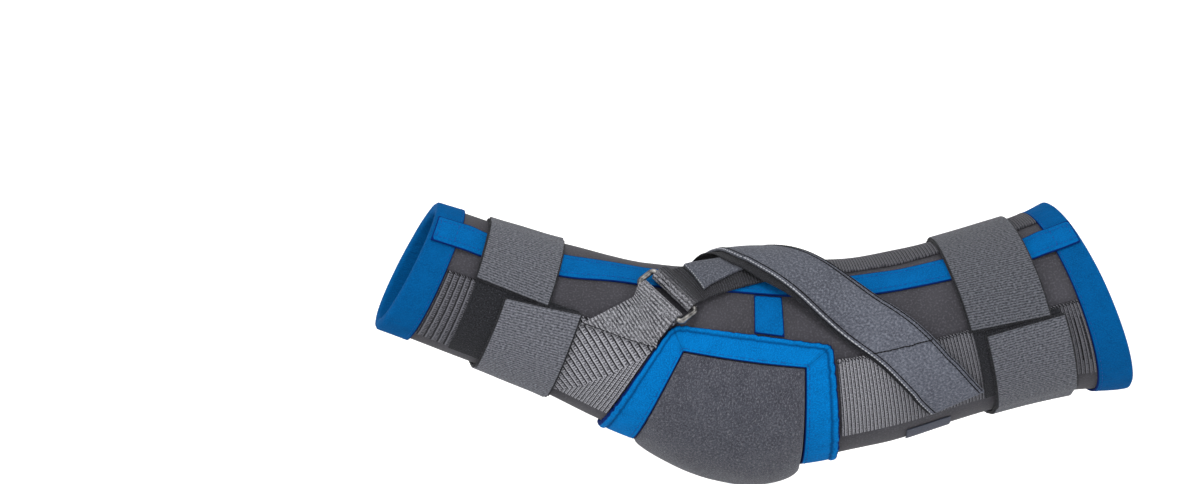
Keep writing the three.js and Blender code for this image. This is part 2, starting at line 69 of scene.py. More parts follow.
# Share of the way to each end, and height and depth there as shares of the elbow's.
SLEEVE_SECTIONS = [
    (-1.0, 0.66, 0.68),
    (-0.75, 0.69, 0.74),
    (-0.51, 0.75, 0.84),
    (-0.3, 0.85, 0.93),
    (0.0, 0.985, 1.0),
    (0.32, 0.915, 1.01),
    (0.6, 0.87, 1.05),
    (0.87, 0.895, 1.09),
    (1.0, 0.985, 1.12),
]


def mix(start, end, share):
    return start + (end - start) * share


def clamp(value):
    return min(1.0, max(0.0, value))


def smooth(value, low, high):
    share = clamp((value - low) / (high - low))
    return share * share * (3 - 2 * share)


def from_elbow(reach):
    return reach * (FOREARM_LENGTH if reach < 0 else UPPER_ARM_LENGTH)


def section_slope(index, column):
    before = SLEEVE_SECTIONS[max(0, index - 1)]
    after = SLEEVE_SECTIONS[min(len(SLEEVE_SECTIONS) - 1, index + 1)]
    return (after[column] - before[column]) / (from_elbow(after[0]) - from_elbow(before[0]))


def section_share(along, column):
    """Smooth curve through one column of the table of sections."""
    index = 0
    while index < len(SLEEVE_SECTIONS) - 2 and along > from_elbow(SLEEVE_SECTIONS[index + 1][0]):
        index += 1
    start = from_elbow(SLEEVE_SECTIONS[index][0])
    span = from_elbow(SLEEVE_SECTIONS[index + 1][0]) - start
    t = (along - start) / span
    return (
        (2 * t**3 - 3 * t**2 + 1) * SLEEVE_SECTIONS[index][column]
        + (t**3 - 2 * t**2 + t) * span * section_slope(index, column)
        + (3 * t**2 - 2 * t**3) * SLEEVE_SECTIONS[index + 1][column]
        + (t**3 - t**2) * span * section_slope(index + 1, column)
    )


def arm_frame(along):
    """Middle of the hollow, with its up and outward directions."""
    side = -1 if along < 0 else 1
    distance = abs(along)
    length, rise, radius, sway = (
        (FOREARM_LENGTH, FOREARM_RISE, FOREARM_BEND_RADIUS, -FOREARM_SWAY)
        if along < 0
        else (UPPER_ARM_LENGTH, UPPER_ARM_RISE, UPPER_ARM_BEND_RADIUS, UPPER_ARM_SWAY)
    )
    turn = min(distance / radius, math.radians(rise))
    straight = distance - turn * radius
    centre = Vector((
        side * (radius * math.sin(turn) + straight * math.cos(turn)),
        sway * (distance / length) ** 2,
        radius * (1 - math.cos(turn)) + straight * math.sin(turn),
    ))
    ahead = Vector((math.cos(turn), 2 * side * sway * distance / length**2, side * math.sin(turn)))
    up = Vector((-side * math.sin(turn), 0, math.cos(turn)))
    out = ahead.normalized().cross(up).normalized()
    return centre, up, out


def cuff_lean(along, angle):
    share = -along / FOREARM_LENGTH if along < 0 else along / UPPER_ARM_LENGTH
    lean = WRIST_LEAN if along < 0 else -SHOULDER_LEAN
    return lean * math.sin(math.radians(angle)) * smooth(share, 0.8, 1)


def swell(along, angle):
    """Slow unevenness of soft cloth, shared by every layer."""
    turn = math.radians(angle)
    place = Vector((along / SWELL_LENGTH, SWELL_ROUND * math.cos(turn), SWELL_ROUND * math.sin(turn)))
    return CLOTH_SWELL * noise.noise(place)


def on_arm(along, angle, height):
    place = along + cuff_lean(along, angle)
    centre, up, out = arm_frame(place)
    height += swell(along, angle)
    half_height = section_share(place, 1) * ELBOW_HEIGHT / 2
    half_depth = section_share(place, 2) * ELBOW_DEPTH / 2
    turn = math.radians(angle)
    outwards = out * ((half_depth + height) * math.cos(turn))
    return centre + outwards + up * ((half_height + height) * math.sin(turn))


def slab(name, cells, corner, size, ring=False, pattern=None, tone=None, bevel=0.25, lined_with_edge_shade=False):
    """Sheet of cloth with two faces. corner(u, v, side) places it, side 0 within and 1 outside.

    size is its length and width along u and v, and a ring closes along v. pattern(centre, u, v) may
    give a face's own weave coordinates, and tone(u, v) a shade. On request a second material goes on
    its back and edges; on the wide straps that black is partly painted shade along the edges.
    """
    bm = bmesh.new()
    bmesh.ops.create_grid(bm, x_segments=cells[0], y_segments=cells[1], size=0.5)
    weave = bm.loops.layers.uv.new("weave")
    edge = bm.verts.layers.float.new("edge")
    shade = bm.verts.layers.float.new("tone")
    for face in bm.faces:
        middle = face.calc_center_median()
        for loop in face.loops:
            u, v = loop.vert.co.x + 0.5, loop.vert.co.y + 0.5
            x, y = u * size[0], v * size[1]
            if pattern:
                x, y = pattern((middle.x + 0.5, middle.y + 0.5), u, v)
            loop[weave].uv = (x * METRES, y * METRES)
    for vert in bm.verts:
        u, v = vert.co.x + 0.5, vert.co.y + 0.5
        from_ends = min(u, 1 - u) * size[0]
        vert[edge] = from_ends if ring else min(from_ends, min(v, 1 - v) * size[1])
        vert[shade] = tone(u, v) if tone else 0.5
    sheet = bm.faces[:] + bm.edges[:] + bm.verts[:]
    raised = bmesh.ops.extrude_face_region(bm, geom=sheet, use_keep_orig=True)
    for item in raised["geom"]:
        if isinstance(item, bmesh.types.BMVert):
            item.co.z = 1
    for face in bm.faces:
        face.material_index = 1 if lined_with_edge_shade and min(vert.co.z for vert in face.verts) < 0.5 else 0
    if ring:
        seam = [
            face
            for face in bm.faces
            if max(abs(abs(vert.co.y) - 0.5) for vert in face.verts) < 1e-5
            and abs(sum(vert.co.y for vert in face.verts)) > 1
        ]
        bmesh.ops.delete(bm, geom=seam, context="FACES")
    for vert in bm.verts:
        vert.co = corner(vert.co.x + 0.5, vert.co.y + 0.5, round(vert.co.z)) * METRES
    if ring:
        bmesh.ops.remove_doubles(bm, verts=bm.verts[:], dist=1e-6)
    bmesh.ops.recalc_face_normals(bm, faces=bm.faces[:])
    piece = finished(name, bm)
    piece["cut"] = cut_size(corner, cells)
    if bevel:
        rounding = piece.modifiers.new("rounded edges", "BEVEL")
        rounding.width = bevel * METRES
        rounding.segments = 2
        rounding.limit_method = "ANGLE"
        rounding.angle_limit = math.radians(50)
    return piece


def cut_size(corner, cells):
    """Length, width and area in metres of a sheet before it was laid."""
    steps, columns = cells[0], range(cells[1] + 1)
    rows = [[corner(u / steps, v / cells[1], 0) for v in columns] for u in range(steps + 1)]
    pairs = list(zip(rows, rows[1:]))
    length = max(sum((after[v] - before[v]).length for before, after in pairs) for v in columns)
    width = max(sum((b - a).length for a, b in zip(row, row[1:])) for row in rows)
    area = sum(
        (after[v] - before[v + 1]).cross(after[v + 1] - before[v]).length / 2
        for before, after in pairs
        for v in range(cells[1])
    )
    return length * METRES, width * METRES, min(area, length * width) * METRES**2


def finished(name, bm):
    """Smooth-shaded object from a bmesh, riding on the brace."""
    mesh = bpy.data.meshes.new(name)
    bm.to_mesh(mesh)
    bm.free()
    for face in mesh.polygons:
        face.use_smooth = True
    piece = bpy.data.objects.new(name, mesh)
    bpy.context.scene.collection.objects.link(piece)
    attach(piece, "root")
    return piece


def dress(piece, material, node_name):
    """Gives a piece its material and hides the CAD node it stands for."""
    piece.data.materials.append(material)
    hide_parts(node_name)


def linear(hex_colour):
    """Linear colour from an sRGB hex value."""
    channels = [(hex_colour >> shift & 255) / 255 for shift in (16, 8, 0)]
    return [c / 12.92 if c <= 0.04045 else ((c + 0.055) / 1.055) ** 2.4 for c in channels] + [1.0]


def add_node(tree, kind, inputs=(), output=0, **settings):
    """Adds a shader node and returns one of its outputs.

    inputs is a list from the first socket on, or a dict of sockets. Each is a value, a hex colour or
    another node's output.
    """
    node = tree.nodes.new("ShaderNode" + kind)
    for name, value in settings.items():
        setattr(node, name, value)
    for key, value in inputs.items() if isinstance(inputs, dict) else enumerate(inputs):
        socket = node.inputs[key]
        if isinstance(value, bpy.types.NodeSocket):
            tree.links.new(value, socket)
        else:
            is_hex = socket.type == "RGBA" and isinstance(value, int)
            socket.default_value = linear(value) if is_hex else value
    return node.outputs[output]


def cloth(name, roughness, sheen=0.0):
    """New cloth material, with its nodes, its shader, and weave and object coordinates in metres."""
    material = bpy.data.materials.new(name)
    material.use_nodes = True
    tree = material.node_tree
    shader = tree.nodes["Principled BSDF"]
    shader.inputs["Roughness"].default_value = roughness
    shader.inputs["Sheen Weight"].default_value = sheen
    shader.inputs["Sheen Roughness"].default_value = 0.5
    shader.inputs["Specular IOR Level"].default_value = 0.25
    weave = add_node(tree, "UVMap", uv_map="weave")
    place = add_node(tree, "TexCoord", output="Object")
    return material, tree, shader, weave, place


def finish_cloth(tree, shader, colour, relief, depth):
    """Joins a cloth's colour and its relief, of a depth in millimetres, to its shader."""
    tree.links.new(colour, shader.inputs["Base Color"])
    bump = add_node(tree, "Bump", {"Height": relief, "Distance": depth * METRES, "Strength": 1.0})
    tree.links.new(bump, shader.inputs["Normal"])


# Knitted jersey over neoprene: matt and slightly fuzzy, darker in patches, with pale flecks of painted
# highlight where the nap catches light.
# Its loops, about 0.3 mm wide, are drawn two to three times as large so that they show.
neoprene, tree, shader, weave, place = cloth("charcoal neoprene jersey", 0.92, sheen=0.12)
loops = add_node(tree, "Mapping", {"Vector": weave, "Scale": (1 / 0.0009, 1 / 0.0006, 1)})
knit = add_node(tree, "TexNoise", {"Vector": loops, "Scale": 1.0, "Detail": 2.0}, "Fac")
mottle = add_node(tree, "TexNoise", {"Vector": place, "Scale": 1 / 0.022, "Detail": 3.0}, "Fac")
speck = add_node(tree, "TexNoise", {"Vector": weave, "Scale": 1 / 0.001, "Detail": 1.0}, "Fac")
worn = add_node(tree, "MapRange", [mottle, 0.3, 0.7])
base = add_node(tree, "Mix", {0: worn, 6: 0x403F44, 7: 0x4B4A50}, 2, data_type="RGBA")
# Painted highlight: pale flecks stand for glints of light on the nap.
nap_glints = add_node(tree, "MapRange", [speck, 0.5, 0.7, 0.0, 0.5])
flecked = add_node(tree, "Mix", {0: nap_glints, 6: base, 7: 0x64626A}, 2, data_type="RGBA")
finish_cloth(tree, shader, flecked, knit, 0.12)


def panel_corner(start, end):
    return lambda u, v, side: on_arm(mix(start, end, u), 360 * v, -SLEEVE_THICKNESS * (1 - side))


PANEL_SEAM = 3.5
panel_rows = (
    ("forearm_sleeve", -FOREARM_LENGTH, PANEL_SEAM - LAYER_GAP / 2, (180, 250)),
    ("arm_sleeve", PANEL_SEAM + LAYER_GAP / 2, UPPER_ARM_LENGTH, (160, 280)),
)
for name, start, end, size in panel_rows:
    panel = slab(name, (100, 150), panel_corner(start, end), size, ring=True, bevel=0.5)
    dress(panel, neoprene, name)

# Cuff bindings: 13.5 mm blue tape folded over each cut end of the sleeve and stitched through, so
# that the raw rubber foam doesn't show.
BINDING_WIDTH = 13.5
BINDING_THICKNESS = 1.0
BINDING_TURN = 5.0
BINDING_LIP = 1.1

# A wave texture's scale is this, divided by the distance between its bands in metres.
BAND_SCALE = 0.31416

# Woven polyester tape: matt twill, grained, with a navy line along each edge where it turns, partly the
# edge's own darker colour and partly painted shade. Its "tone" is the shade from the darker cuffs to
# the brighter frame. The 0.8 mm twill is a little coarse.
blue_tape, tree, shader, weave, place = cloth("blue binding tape", 0.92)
shader.inputs["Specular IOR Level"].default_value = 0.08
grain = add_node(tree, "TexNoise", {"Vector": weave, "Scale": 1500.0, "Detail": 2.0}, "Fac")
twill = add_node(
    tree,
    "TexWave",
    {"Vector": weave, "Scale": BAND_SCALE / 0.0008, "Distortion": 2.0, "Detail": 1.0},
    "Fac",
    bands_direction="DIAGONAL",
)
mottle = add_node(tree, "TexNoise", {"Vector": place, "Scale": 1 / 0.007, "Detail": 3.0}, "Fac")
worn = add_node(tree, "MapRange", [mottle, 0.3, 0.7])
tone = add_node(tree, "Attribute", output="Fac", attribute_name="tone")
dark = add_node(tree, "Mix", {0: worn, 6: 0x00487F, 7: 0x00528F}, 2, data_type="RGBA")
bright = add_node(tree, "Mix", {0: worn, 6: 0x0067B0, 7: 0x0077C6}, 2, data_type="RGBA")
body = add_node(tree, "Mix", {0: tone, 6: dark, 7: bright}, 2, data_type="RGBA")
pale = add_node(tree, "Mix", {0: tone, 6: 0x005C9C, 7: 0x0089DC}, 2, data_type="RGBA")
grains = add_node(tree, "MapRange", [grain, 0.42, 0.62, 0.0, 0.75])
grained = add_node(tree, "Mix", {0: grains, 6: body, 7: pale}, 2, data_type="RGBA")
# Partly painted shade: the navy line along each edge where the tape turns.
from_edge = add_node(tree, "Attribute", output="Fac", attribute_name="edge")
edge_line_and_shade = add_node(tree, "MapRange", [from_edge, 0.35, 0.6, 1.0, 0.0])
edged = add_node(tree, "Mix", {0: edge_line_and_shade, 6: grained, 7: 0x07286B}, 2, data_type="RGBA")
pucker_place = add_node(tree, "Mapping", {"Vector": weave, "Scale": (1 / 0.007, 1 / 0.003, 1)})
puckers = add_node(tree, "TexNoise", {"Vector": pucker_place, "Scale": 1.0, "Detail": 2.0}, "Fac")
ridges = add_node(tree, "Math", [twill, 0.6], operation="MULTIPLY")
waves = add_node(tree, "Math", [puckers, 6.0], operation="MULTIPLY")
fine = add_node(tree, "Math", [grain, ridges], operation="ADD")
relief = add_node(tree, "Math", [fine, waves], operation="ADD")
finish_cloth(tree, shader, edged, relief, 0.12)


def binding_corner(side_of_arm):
    """Tape's middle runs up the outer face, round the end of the sleeve and back inside."""
    end = from_elbow(side_of_arm)
    lift = LAYER_GAP + BINDING_THICKNESS / 2
    deep = SLEEVE_THICKNESS / 2 + lift

    def corner(u, v, side):
        out = (side - 0.5) * BINDING_THICKNESS
        walked = u * (2 * BINDING_WIDTH + BINDING_TURN)
        if walked < BINDING_WIDTH:
            back, height = BINDING_WIDTH - walked, lift + out
        elif walked < BINDING_WIDTH + BINDING_TURN:
            turn = math.pi * (0.5 - (walked - BINDING_WIDTH) / BINDING_TURN)
            back = -(BINDING_LIP + out) * math.cos(turn)
            height = (deep + out) * math.sin(turn) - SLEEVE_THICKNESS / 2
        else:
            back, height = walked - BINDING_WIDTH - BINDING_TURN, -SLEEVE_THICKNESS - lift - out
        return on_arm(end - side_of_arm * back, 360 * v, height)

    return corner


for side_of_arm, name, round_length in ((-1, "wrist_binding", 200), (1, "arm_binding", 280)):
    size = (2 * BINDING_WIDTH + BINDING_TURN, round_length)
    corner = binding_corner(side_of_arm)
    binding = slab(name, (30, 130), corner, size, ring=True, tone=lambda u, v: 0.15)
    dress(binding, blue_tape, name)

# Front tape: blue tape from cuff to cuff beside the fold of the elbow, lapped over both bindings and
# sewn down with two rows of stitches.
TAPE_WIDTH = 13.5
TAPE_THICKNESS = 1.0
BAND_THICKNESS = 1.4
BAND_TOP = LAYER_GAP + BAND_THICKNESS
OVER_BAND = BAND_TOP + LAYER_GAP
OVER_TAPE = LAYER_GAP + TAPE_THICKNESS + LAYER_GAP
OVER_SEWN = max(OVER_BAND, OVER_TAPE)
OVER_BINDING = LAYER_GAP + BINDING_THICKNESS + LAYER_GAP
FRONT_TAPE_PATH = [
    (-1.0, 40),
    (-0.84, 41),
    (-0.62, 45),
    (-0.42, 56),
    (-0.16, 55.5),
    (0.13, 49.5),
    (0.6, 44.5),
    (1.0, 40.5),
]


def scales(along, angle):
    """Millimetres on the sleeve for one millimetre along its middle line, and for one degree."""
    ahead = (on_arm(along + 1, angle, 0) - on_arm(along - 1, angle, 0)).length / 2
    round_arm = (on_arm(along, angle + 1, 0) - on_arm(along, angle - 1, 0)).length / 2
    return ahead, round_arm


def curve_through(path):
    """Samples of the smooth curve through a path, each with what one millimetre beside it is worth."""
    points = [Vector((from_elbow(reach), angle)) for reach, angle in path]
    last = len(points) - 1
    line = []
    for step in range(60 * last + 1):
        index = min(step // 60, last - 1)
        t = step / 60 - index
        p0, p1, p2, p3 = (points[min(last, max(0, index + shift))] for shift in (-1, 0, 1, 2))
        slope_1, slope_2 = (p2 - p0) / 2, (p3 - p1) / 2
        cubic = (p1 - p2) * 2 + slope_1 + slope_2
        square = (p2 - p1) * 3 - slope_1 * 2 - slope_2
        line.append(cubic * t**3 + square * t**2 + slope_1 * t + p1)
    shares = [0.0]
    for before, after in zip(line, line[1:]):
        shares.append(shares[-1] + (after - before).length)
    length = shares[-1]
    beside = []
    for index, point in enumerate(line):
        tangent = line[min(index + 1, len(line) - 1)] - line[max(index - 1, 0)]
        ahead, round_arm = scales(point.x, point.y)
        heading = math.atan2(tangent.y * round_arm, tangent.x * ahead)
        beside.append(Vector((math.sin(heading) / ahead, -math.cos(heading) / round_arm)))
    shares = [share / length for share in shares]
    return {"length": length, "shares": shares, "line": line, "beside": beside}


def beside_curve(curve, share, offset):
    """Place beside a curve on the sleeve, off by a distance across it."""
    share = clamp(share)
    index = min(len(curve["line"]) - 2, max(0, bisect.bisect_right(curve["shares"], share) - 1))
    low, high = curve["shares"][index], curve["shares"][index + 1]
    t = (share - low) / (high - low)
    point = curve["line"][index].lerp(curve["line"][index + 1], t)
    beside = curve["beside"][index].lerp(curve["beside"][index + 1], t)
    return point.x + offset * beside.x, point.y + offset * beside.y


front_tape_curve = curve_through(FRONT_TAPE_PATH)


def front_tape_height(along):
    end = FOREARM_LENGTH if along < 0 else UPPER_ARM_LENGTH
    lap = 1 - smooth(end - abs(along), BINDING_WIDTH + 3, BINDING_WIDTH + 15)
    return mix(LAYER_GAP, OVER_BINDING, lap)


def front_tape_corner(u, v, side):
    along, angle = beside_curve(front_tape_curve, u, (v - 0.5) * TAPE_WIDTH)
    return on_arm(along, angle, front_tape_height(along) + TAPE_THICKNESS * side)


def sew(name, lines, thread, stitch, pitch, width):
    """Rows of stitches. Each line gives a point in millimetres for a share of its way, and a length."""
    bm = bmesh.new()
    half = stitch / pitch / 2
    for line, length in lines:
        count = max(1, int(length / pitch))
        for index in range(count):
            start, end = line((index + 0.5 - half) / count), line((index + 0.5 + half) / count)
            along = end - start
            turn = along.to_track_quat("X", "Z").to_matrix().to_4x4()
            turn.translation = (start + end) / 2 * METRES
            made = bmesh.ops.create_icosphere(bm, subdivisions=1, radius=0.5 * METRES)
            for vert in made["verts"]:
                x, y, z = vert.co
                vert.co = (x * (along.length + width), y * width, z * width * 0.8)
            bmesh.ops.transform(bm, matrix=turn, verts=made["verts"])
    piece = finished(name, bm)
    piece.data.materials.append(thread)
    return piece


tape_size = (front_tape_curve["length"], TAPE_WIDTH)
front_tape = slab("front_tape", (240, 8), front_tape_corner, tape_size, tone=lambda u, v: 0.45)
dress(front_tape, blue_tape, "front_tape")

# Twisted sewing thread: plain blue with no shine, too thin for its twist to show.
blue_thread, tree, shader, weave, place = cloth("blue sewing thread", 0.7)
shader.inputs["Base Color"].default_value = linear(0x0A4FA0)


def tape_line(offset, start, end):
    def line(share):
        along, angle = beside_curve(front_tape_curve, mix(start, end, share), offset)
        return on_arm(along, angle, front_tape_height(along) + TAPE_THICKNESS + 0.05)

    return line, front_tape_curve["length"] * abs(end - start)


tape_rows = [tape_line(offset, 0.0, 1.0) for offset in (-4.2, 4.2)]


def cuff_line(along, start, end, height):
    """Line round the sleeve at one distance along it."""
    _, round_arm = scales(along, (start + end) / 2)
    return lambda share: on_arm(along, mix(start, end, share), height), abs(end - start) * round_arm


BINDING_TOP = LAYER_GAP + BINDING_THICKNESS + 0.03
binding_rows = [
    cuff_line(-FOREARM_LENGTH + BINDING_WIDTH - 1.6, 0, 360, BINDING_TOP),
    cuff_line(UPPER_ARM_LENGTH - BINDING_WIDTH + 1.6, 0, 360, BINDING_TOP),
]
lap_rows = []
for end in (-1, 1):
    for back in (2.0, 11.5):
        share = back / front_tape_curve["length"]
        share = share if end < 0 else 1 - share
        along, angle = beside_curve(front_tape_curve, share, 0)
        half = TAPE_WIDTH * 0.36 / scales(along, angle)[1]
        over_tape = OVER_BINDING + TAPE_THICKNESS + 0.05
        lap_rows.append(cuff_line(along, angle - half, angle + half, over_tape))
stitch_rows = tape_rows + binding_rows + lap_rows
tape_stitches = sew("tape_stitches", stitch_rows, blue_thread, 1.7, 2.6, 0.42)

# Elbow pad: foam dome under charcoal felt round the point of the elbow, and the short cross tape
# that joins its frame to the front tape. The frame is wider on the sides that run round the sleeve:
# FRAME_LAP outwards and FRAME_INNER_LAP inwards.
FRAME_LAP = 2.4
FRAME_INNER_LAP = 1.5
PAD_EDGE_THICKNESS = 2.2
PAD_CROWN = 9.2
PAD_BINDING_WIDTH = 12.0
PAD_LIP_HEIGHT = 0.7
PAD_LIP_WIDTH = 2.6
PAD_MIDDLE_ANGLE = -90.0
PAD_HALF_ANGLE = 110.0
PAD_BOW_ANGLE = 10.0


def pad_left_edge(angle):
    share = abs(angle - PAD_MIDDLE_ANGLE) / PAD_HALF_ANGLE
    return from_elbow(-0.36) - from_elbow(-0.098) * share**2.3


def pad_right_edge(angle):
    share = abs(angle - PAD_MIDDLE_ANGLE) / PAD_HALF_ANGLE
    return from_elbow(0.185) + from_elbow(0.01) * share


def pad_place(across, round_share):
    half_angle = PAD_HALF_ANGLE - PAD_BOW_ANGLE * across**2
    angle = PAD_MIDDLE_ANGLE + half_angle * (1 - 2 * round_share)
    return mix(pad_left_edge(angle), pad_right_edge(angle), across), angle


PAD_ACROSS = (pad_right_edge(-90) - pad_left_edge(-90)) * 1.05
PAD_ROUND = 2 * PAD_HALF_ANGLE * scales(0, -45)[1]


def pad_top_angle(along):
    across = (along - pad_left_edge(20)) / (pad_right_edge(20) - pad_left_edge(20))
    return pad_place(across, 0)[1]


def tape_lower_edge(along):
    share = 0.0
    while share < 1 and beside_curve(front_tape_curve, share, TAPE_WIDTH / 2)[0] < along:
        share += 0.005
    return beside_curve(front_tape_curve, share, TAPE_WIDTH / 2)[1]


def cross_tape_corner(u, v, side):
    along = mix(-4, 11, u)
    gap = 2 * LAYER_GAP / scales(along, 30)[1]
    angle = mix(pad_top_angle(along) + gap, tape_lower_edge(along) - gap, v)
    return on_arm(along, angle, LAYER_GAP + TAPE_THICKNESS * side)


cross_tape = slab("cross_tape", (12, 12), cross_tape_corner, (15, 16), tone=lambda u, v: 0.5)
dress(cross_tape, blue_tape, "cross_tape")


def pad_corner(u, v, side):
    inset = PAD_BINDING_WIDTH + LAYER_GAP * 1.5
    side_inset = (inset + FRAME_INNER_LAP) / PAD_ACROSS
    round_share = mix(inset / PAD_ROUND, 1 - inset / PAD_ROUND, u)
    along, angle = pad_place(mix(side_inset, 1 - side_inset, v), round_share)
    dome = max(0, math.sin(math.pi * u)) ** 0.8 * max(0, math.sin(math.pi * v**1.6)) ** 0.36
    dent = 0.5 * noise.noise(Vector((along / 14, angle / 16, 5)))
    return on_arm(along, angle, LAYER_GAP + (PAD_EDGE_THICKNESS + (PAD_CROWN + dent) * dome) * side)


# Needled felt: dull, with curled pale fibres on it and painted shade in the pits between them. The
# fibres are drawn about 0.8 mm across, coarser than real ones, so that they show.
felt, tree, shader, weave, place = cloth("charcoal felt", 0.97, sheen=0.25)
fibre_place = add_node(tree, "Mapping", {"Vector": weave, "Scale": (1 / 0.0017, 1 / 0.0017, 1)})
curl = add_node(tree, "TexNoise", {"Vector": fibre_place, "Scale": 1.0, "Detail": 1.0}, "Color")
bent = add_node(tree, "VectorMath", [fibre_place, curl], operation="ADD")
fibres = add_node(
    tree, "TexNoise", {"Vector": bent, "Scale": 2.0, "Detail": 4.0, "Roughness": 0.7}, "Fac"
)
mottle = add_node(tree, "TexNoise", {"Vector": place, "Scale": 1 / 0.009, "Detail": 3.0}, "Fac")
worn = add_node(tree, "MapRange", [mottle, 0.3, 0.7])
base = add_node(tree, "Mix", {0: worn, 6: 0x464751, 7: 0x51535D}, 2, data_type="RGBA")
pale_fibres = add_node(tree, "MapRange", [fibres, 0.52, 0.66, 0.0, 0.7])
flecked = add_node(tree, "Mix", {0: pale_fibres, 6: base, 7: 0x85868F}, 2, data_type="RGBA")
# Painted shade: the pits between the fibres are darkened.
pit_shade = add_node(tree, "MapRange", [fibres, 0.34, 0.48, 0.75, 0.0])
pit_shaded = add_node(tree, "Mix", {0: pit_shade, 6: flecked, 7: 0x2E2E35}, 2, data_type="RGBA")
finish_cloth(tree, shader, pit_shaded, fibres, 0.4)

elbow_pad = slab("elbow_pad", (150, 80), pad_corner, (PAD_ROUND - 24, PAD_ACROSS - 24), bevel=0.4)
dress(elbow_pad, felt, "elbow_pad")

# Pad frame: flat blue tape mitred round the pad, with a rolled outer lip and one row of stitches
# along its inner edge. The side bands end against it.


def outline_stations(side_x, side_y, corner_steps):
    """Stations round a rectangle: side number, and share of its corner or of its straight side."""
    stations = []
    for side in range(4):
        stations += [(side, "corner", step / corner_steps) for step in range(corner_steps + 1)]
        steps = side_x if side % 2 == 0 else side_y
        stations += [(side, "straight", step / steps) for step in range(1, steps)]
    return stations


def outline_point(station, width, height, radii):
    """Point of a rounded rectangle; radii holds one radius for each corner."""

    def corner_point(side, share):
        radius = radii[side % 4]
        sign_x, sign_y = (1 if side % 4 in (0, 3) else -1), (1 if side % 4 < 2 else -1)
        turn = math.radians(90 * side + 90 * share)
        x = sign_x * (width / 2 - radius) + radius * math.cos(turn)
        return x, sign_y * (height / 2 - radius) + radius * math.sin(turn)

    side, part, share = station
    if part == "corner":
        return corner_point(side, share)
    start, end = corner_point(side, 1), corner_point(side + 1, 0)
    return mix(start[0], end[0], share), mix(start[1], end[1], share)


FRAME_CORNERS = (3.5, 5.5, 5.5, 3.5)
frame_stations = outline_stations(44, 100, 10)


def frame_place(u, v):
    """Place on the frame: u inwards from its slightly puckered outer edge, v round it."""
    index = round(v * len(frame_stations)) % len(frame_stations)
    station = frame_stations[index]
    outer = outline_point(station, PAD_ACROSS + 2 * FRAME_LAP, PAD_ROUND, FRAME_CORNERS)
    inner_across = PAD_ACROSS - 2 * (PAD_BINDING_WIDTH + FRAME_INNER_LAP)
    inner = outline_point(station, inner_across, PAD_ROUND - 2 * PAD_BINDING_WIDTH, (0.8,) * 4)
    share = u + 0.05 * noise.noise(Vector((index * 0.6, 0, 7))) * (1 - smooth(u, 0.1, 0.6))
    x, y = mix(outer[0], inner[0], share), mix(outer[1], inner[1], share)
    return pad_place(x / PAD_ACROSS + 0.5, y / PAD_ROUND + 0.5)


def frame_top(u):
    inward = u * PAD_BINDING_WIDTH
    roll = math.sin(math.pi * clamp(inward / PAD_LIP_WIDTH)) ** 0.6 if inward < PAD_LIP_WIDTH else 0
    groove = 0.45 * math.exp(-(((inward - PAD_LIP_WIDTH) / 0.35) ** 2))
    edge = 0.9 * (1 - smooth(inward, 0, 0.8))
    return LAYER_GAP + PAD_EDGE_THICKNESS + PAD_LIP_HEIGHT * roll - groove - edge


def frame_corner(u, v, side):
    along, angle = frame_place(u, v)
    return on_arm(along, angle, frame_top(u) if side else LAYER_GAP)


def frame_groove_shade_and_mitres(u, v):
    """Painted shade in the groove inside the lip, and a dark seam line along each mitre."""
    side, part, share = frame_stations[round(v * len(frame_stations)) % len(frame_stations)]
    # Painted shade: the groove inside the lip is darkened.
    groove = math.exp(-(((u * PAD_BINDING_WIDTH - PAD_LIP_WIDTH) / 0.45) ** 2))
    mitre = 1 if part == "corner" and abs(share - 0.5) < 0.06 else 0
    return 1.0 - 1.1 * groove - 0.7 * mitre


frame_round = 2 * (PAD_ACROSS + PAD_ROUND)
pad_frame = slab(
    "pad_binding",
    (26, len(frame_stations)),
    frame_corner,
    (PAD_BINDING_WIDTH, frame_round),
    ring=True,
    tone=frame_groove_shade_and_mitres,
)
dress(pad_frame, blue_tape, "pad_binding")


def frame_row(inward):
    def line(share):
        along, angle = frame_place(inward / PAD_BINDING_WIDTH, share)
        return on_arm(along, angle, frame_top(inward / PAD_BINDING_WIDTH) + 0.03)

    return line, frame_round


frame_rows = [frame_row(PAD_BINDING_WIDTH - 1.5)]
frame_stitches = sew("frame_stitches", frame_rows, blue_thread, 1.7, 2.6, 0.4)

# Side bands: knitted elastic from cuff to pad on both sides of the sleeve, ribbed in channels round
# the narrow end and in slanting ribs by the buckle, with fine columns next to the pad.
CHANNEL_PITCH = 3.0
COLUMN_PITCH = 1.7
FINE_PITCH = 1.6
RIB_HEADING = math.radians(50)


def wrapped(angle):
    return angle - 360 if angle > 110 else angle


def forearm_band_place(top_angle, bottom_angle):
    start = -FOREARM_LENGTH + BINDING_WIDTH + LAYER_GAP

    def place(u, v):
        angle = mix(top_angle, bottom_angle, v)
        return mix(start, pad_left_edge(wrapped(angle)) - FRAME_LAP - LAYER_GAP * 1.5, u), angle

    return place


def arm_band_place(top_angle, bottom_angle):
    end = UPPER_ARM_LENGTH - BINDING_WIDTH - LAYER_GAP

    def place(u, v):
        angle = mix(top_angle, bottom_angle, v)
        return mix(pad_right_edge(wrapped(angle)) + FRAME_LAP + LAYER_GAP * 2.5, end, u), angle

    return place


def laid(place, bottom, thickness):
    """Corner function of a strip that lies on the sleeve at a height."""

    def corner(u, v, side):
        along, angle = place(u, v)
        low = bottom(along, angle, u) if callable(bottom) else bottom
        return on_arm(along, angle, low + thickness * side)

    return corner


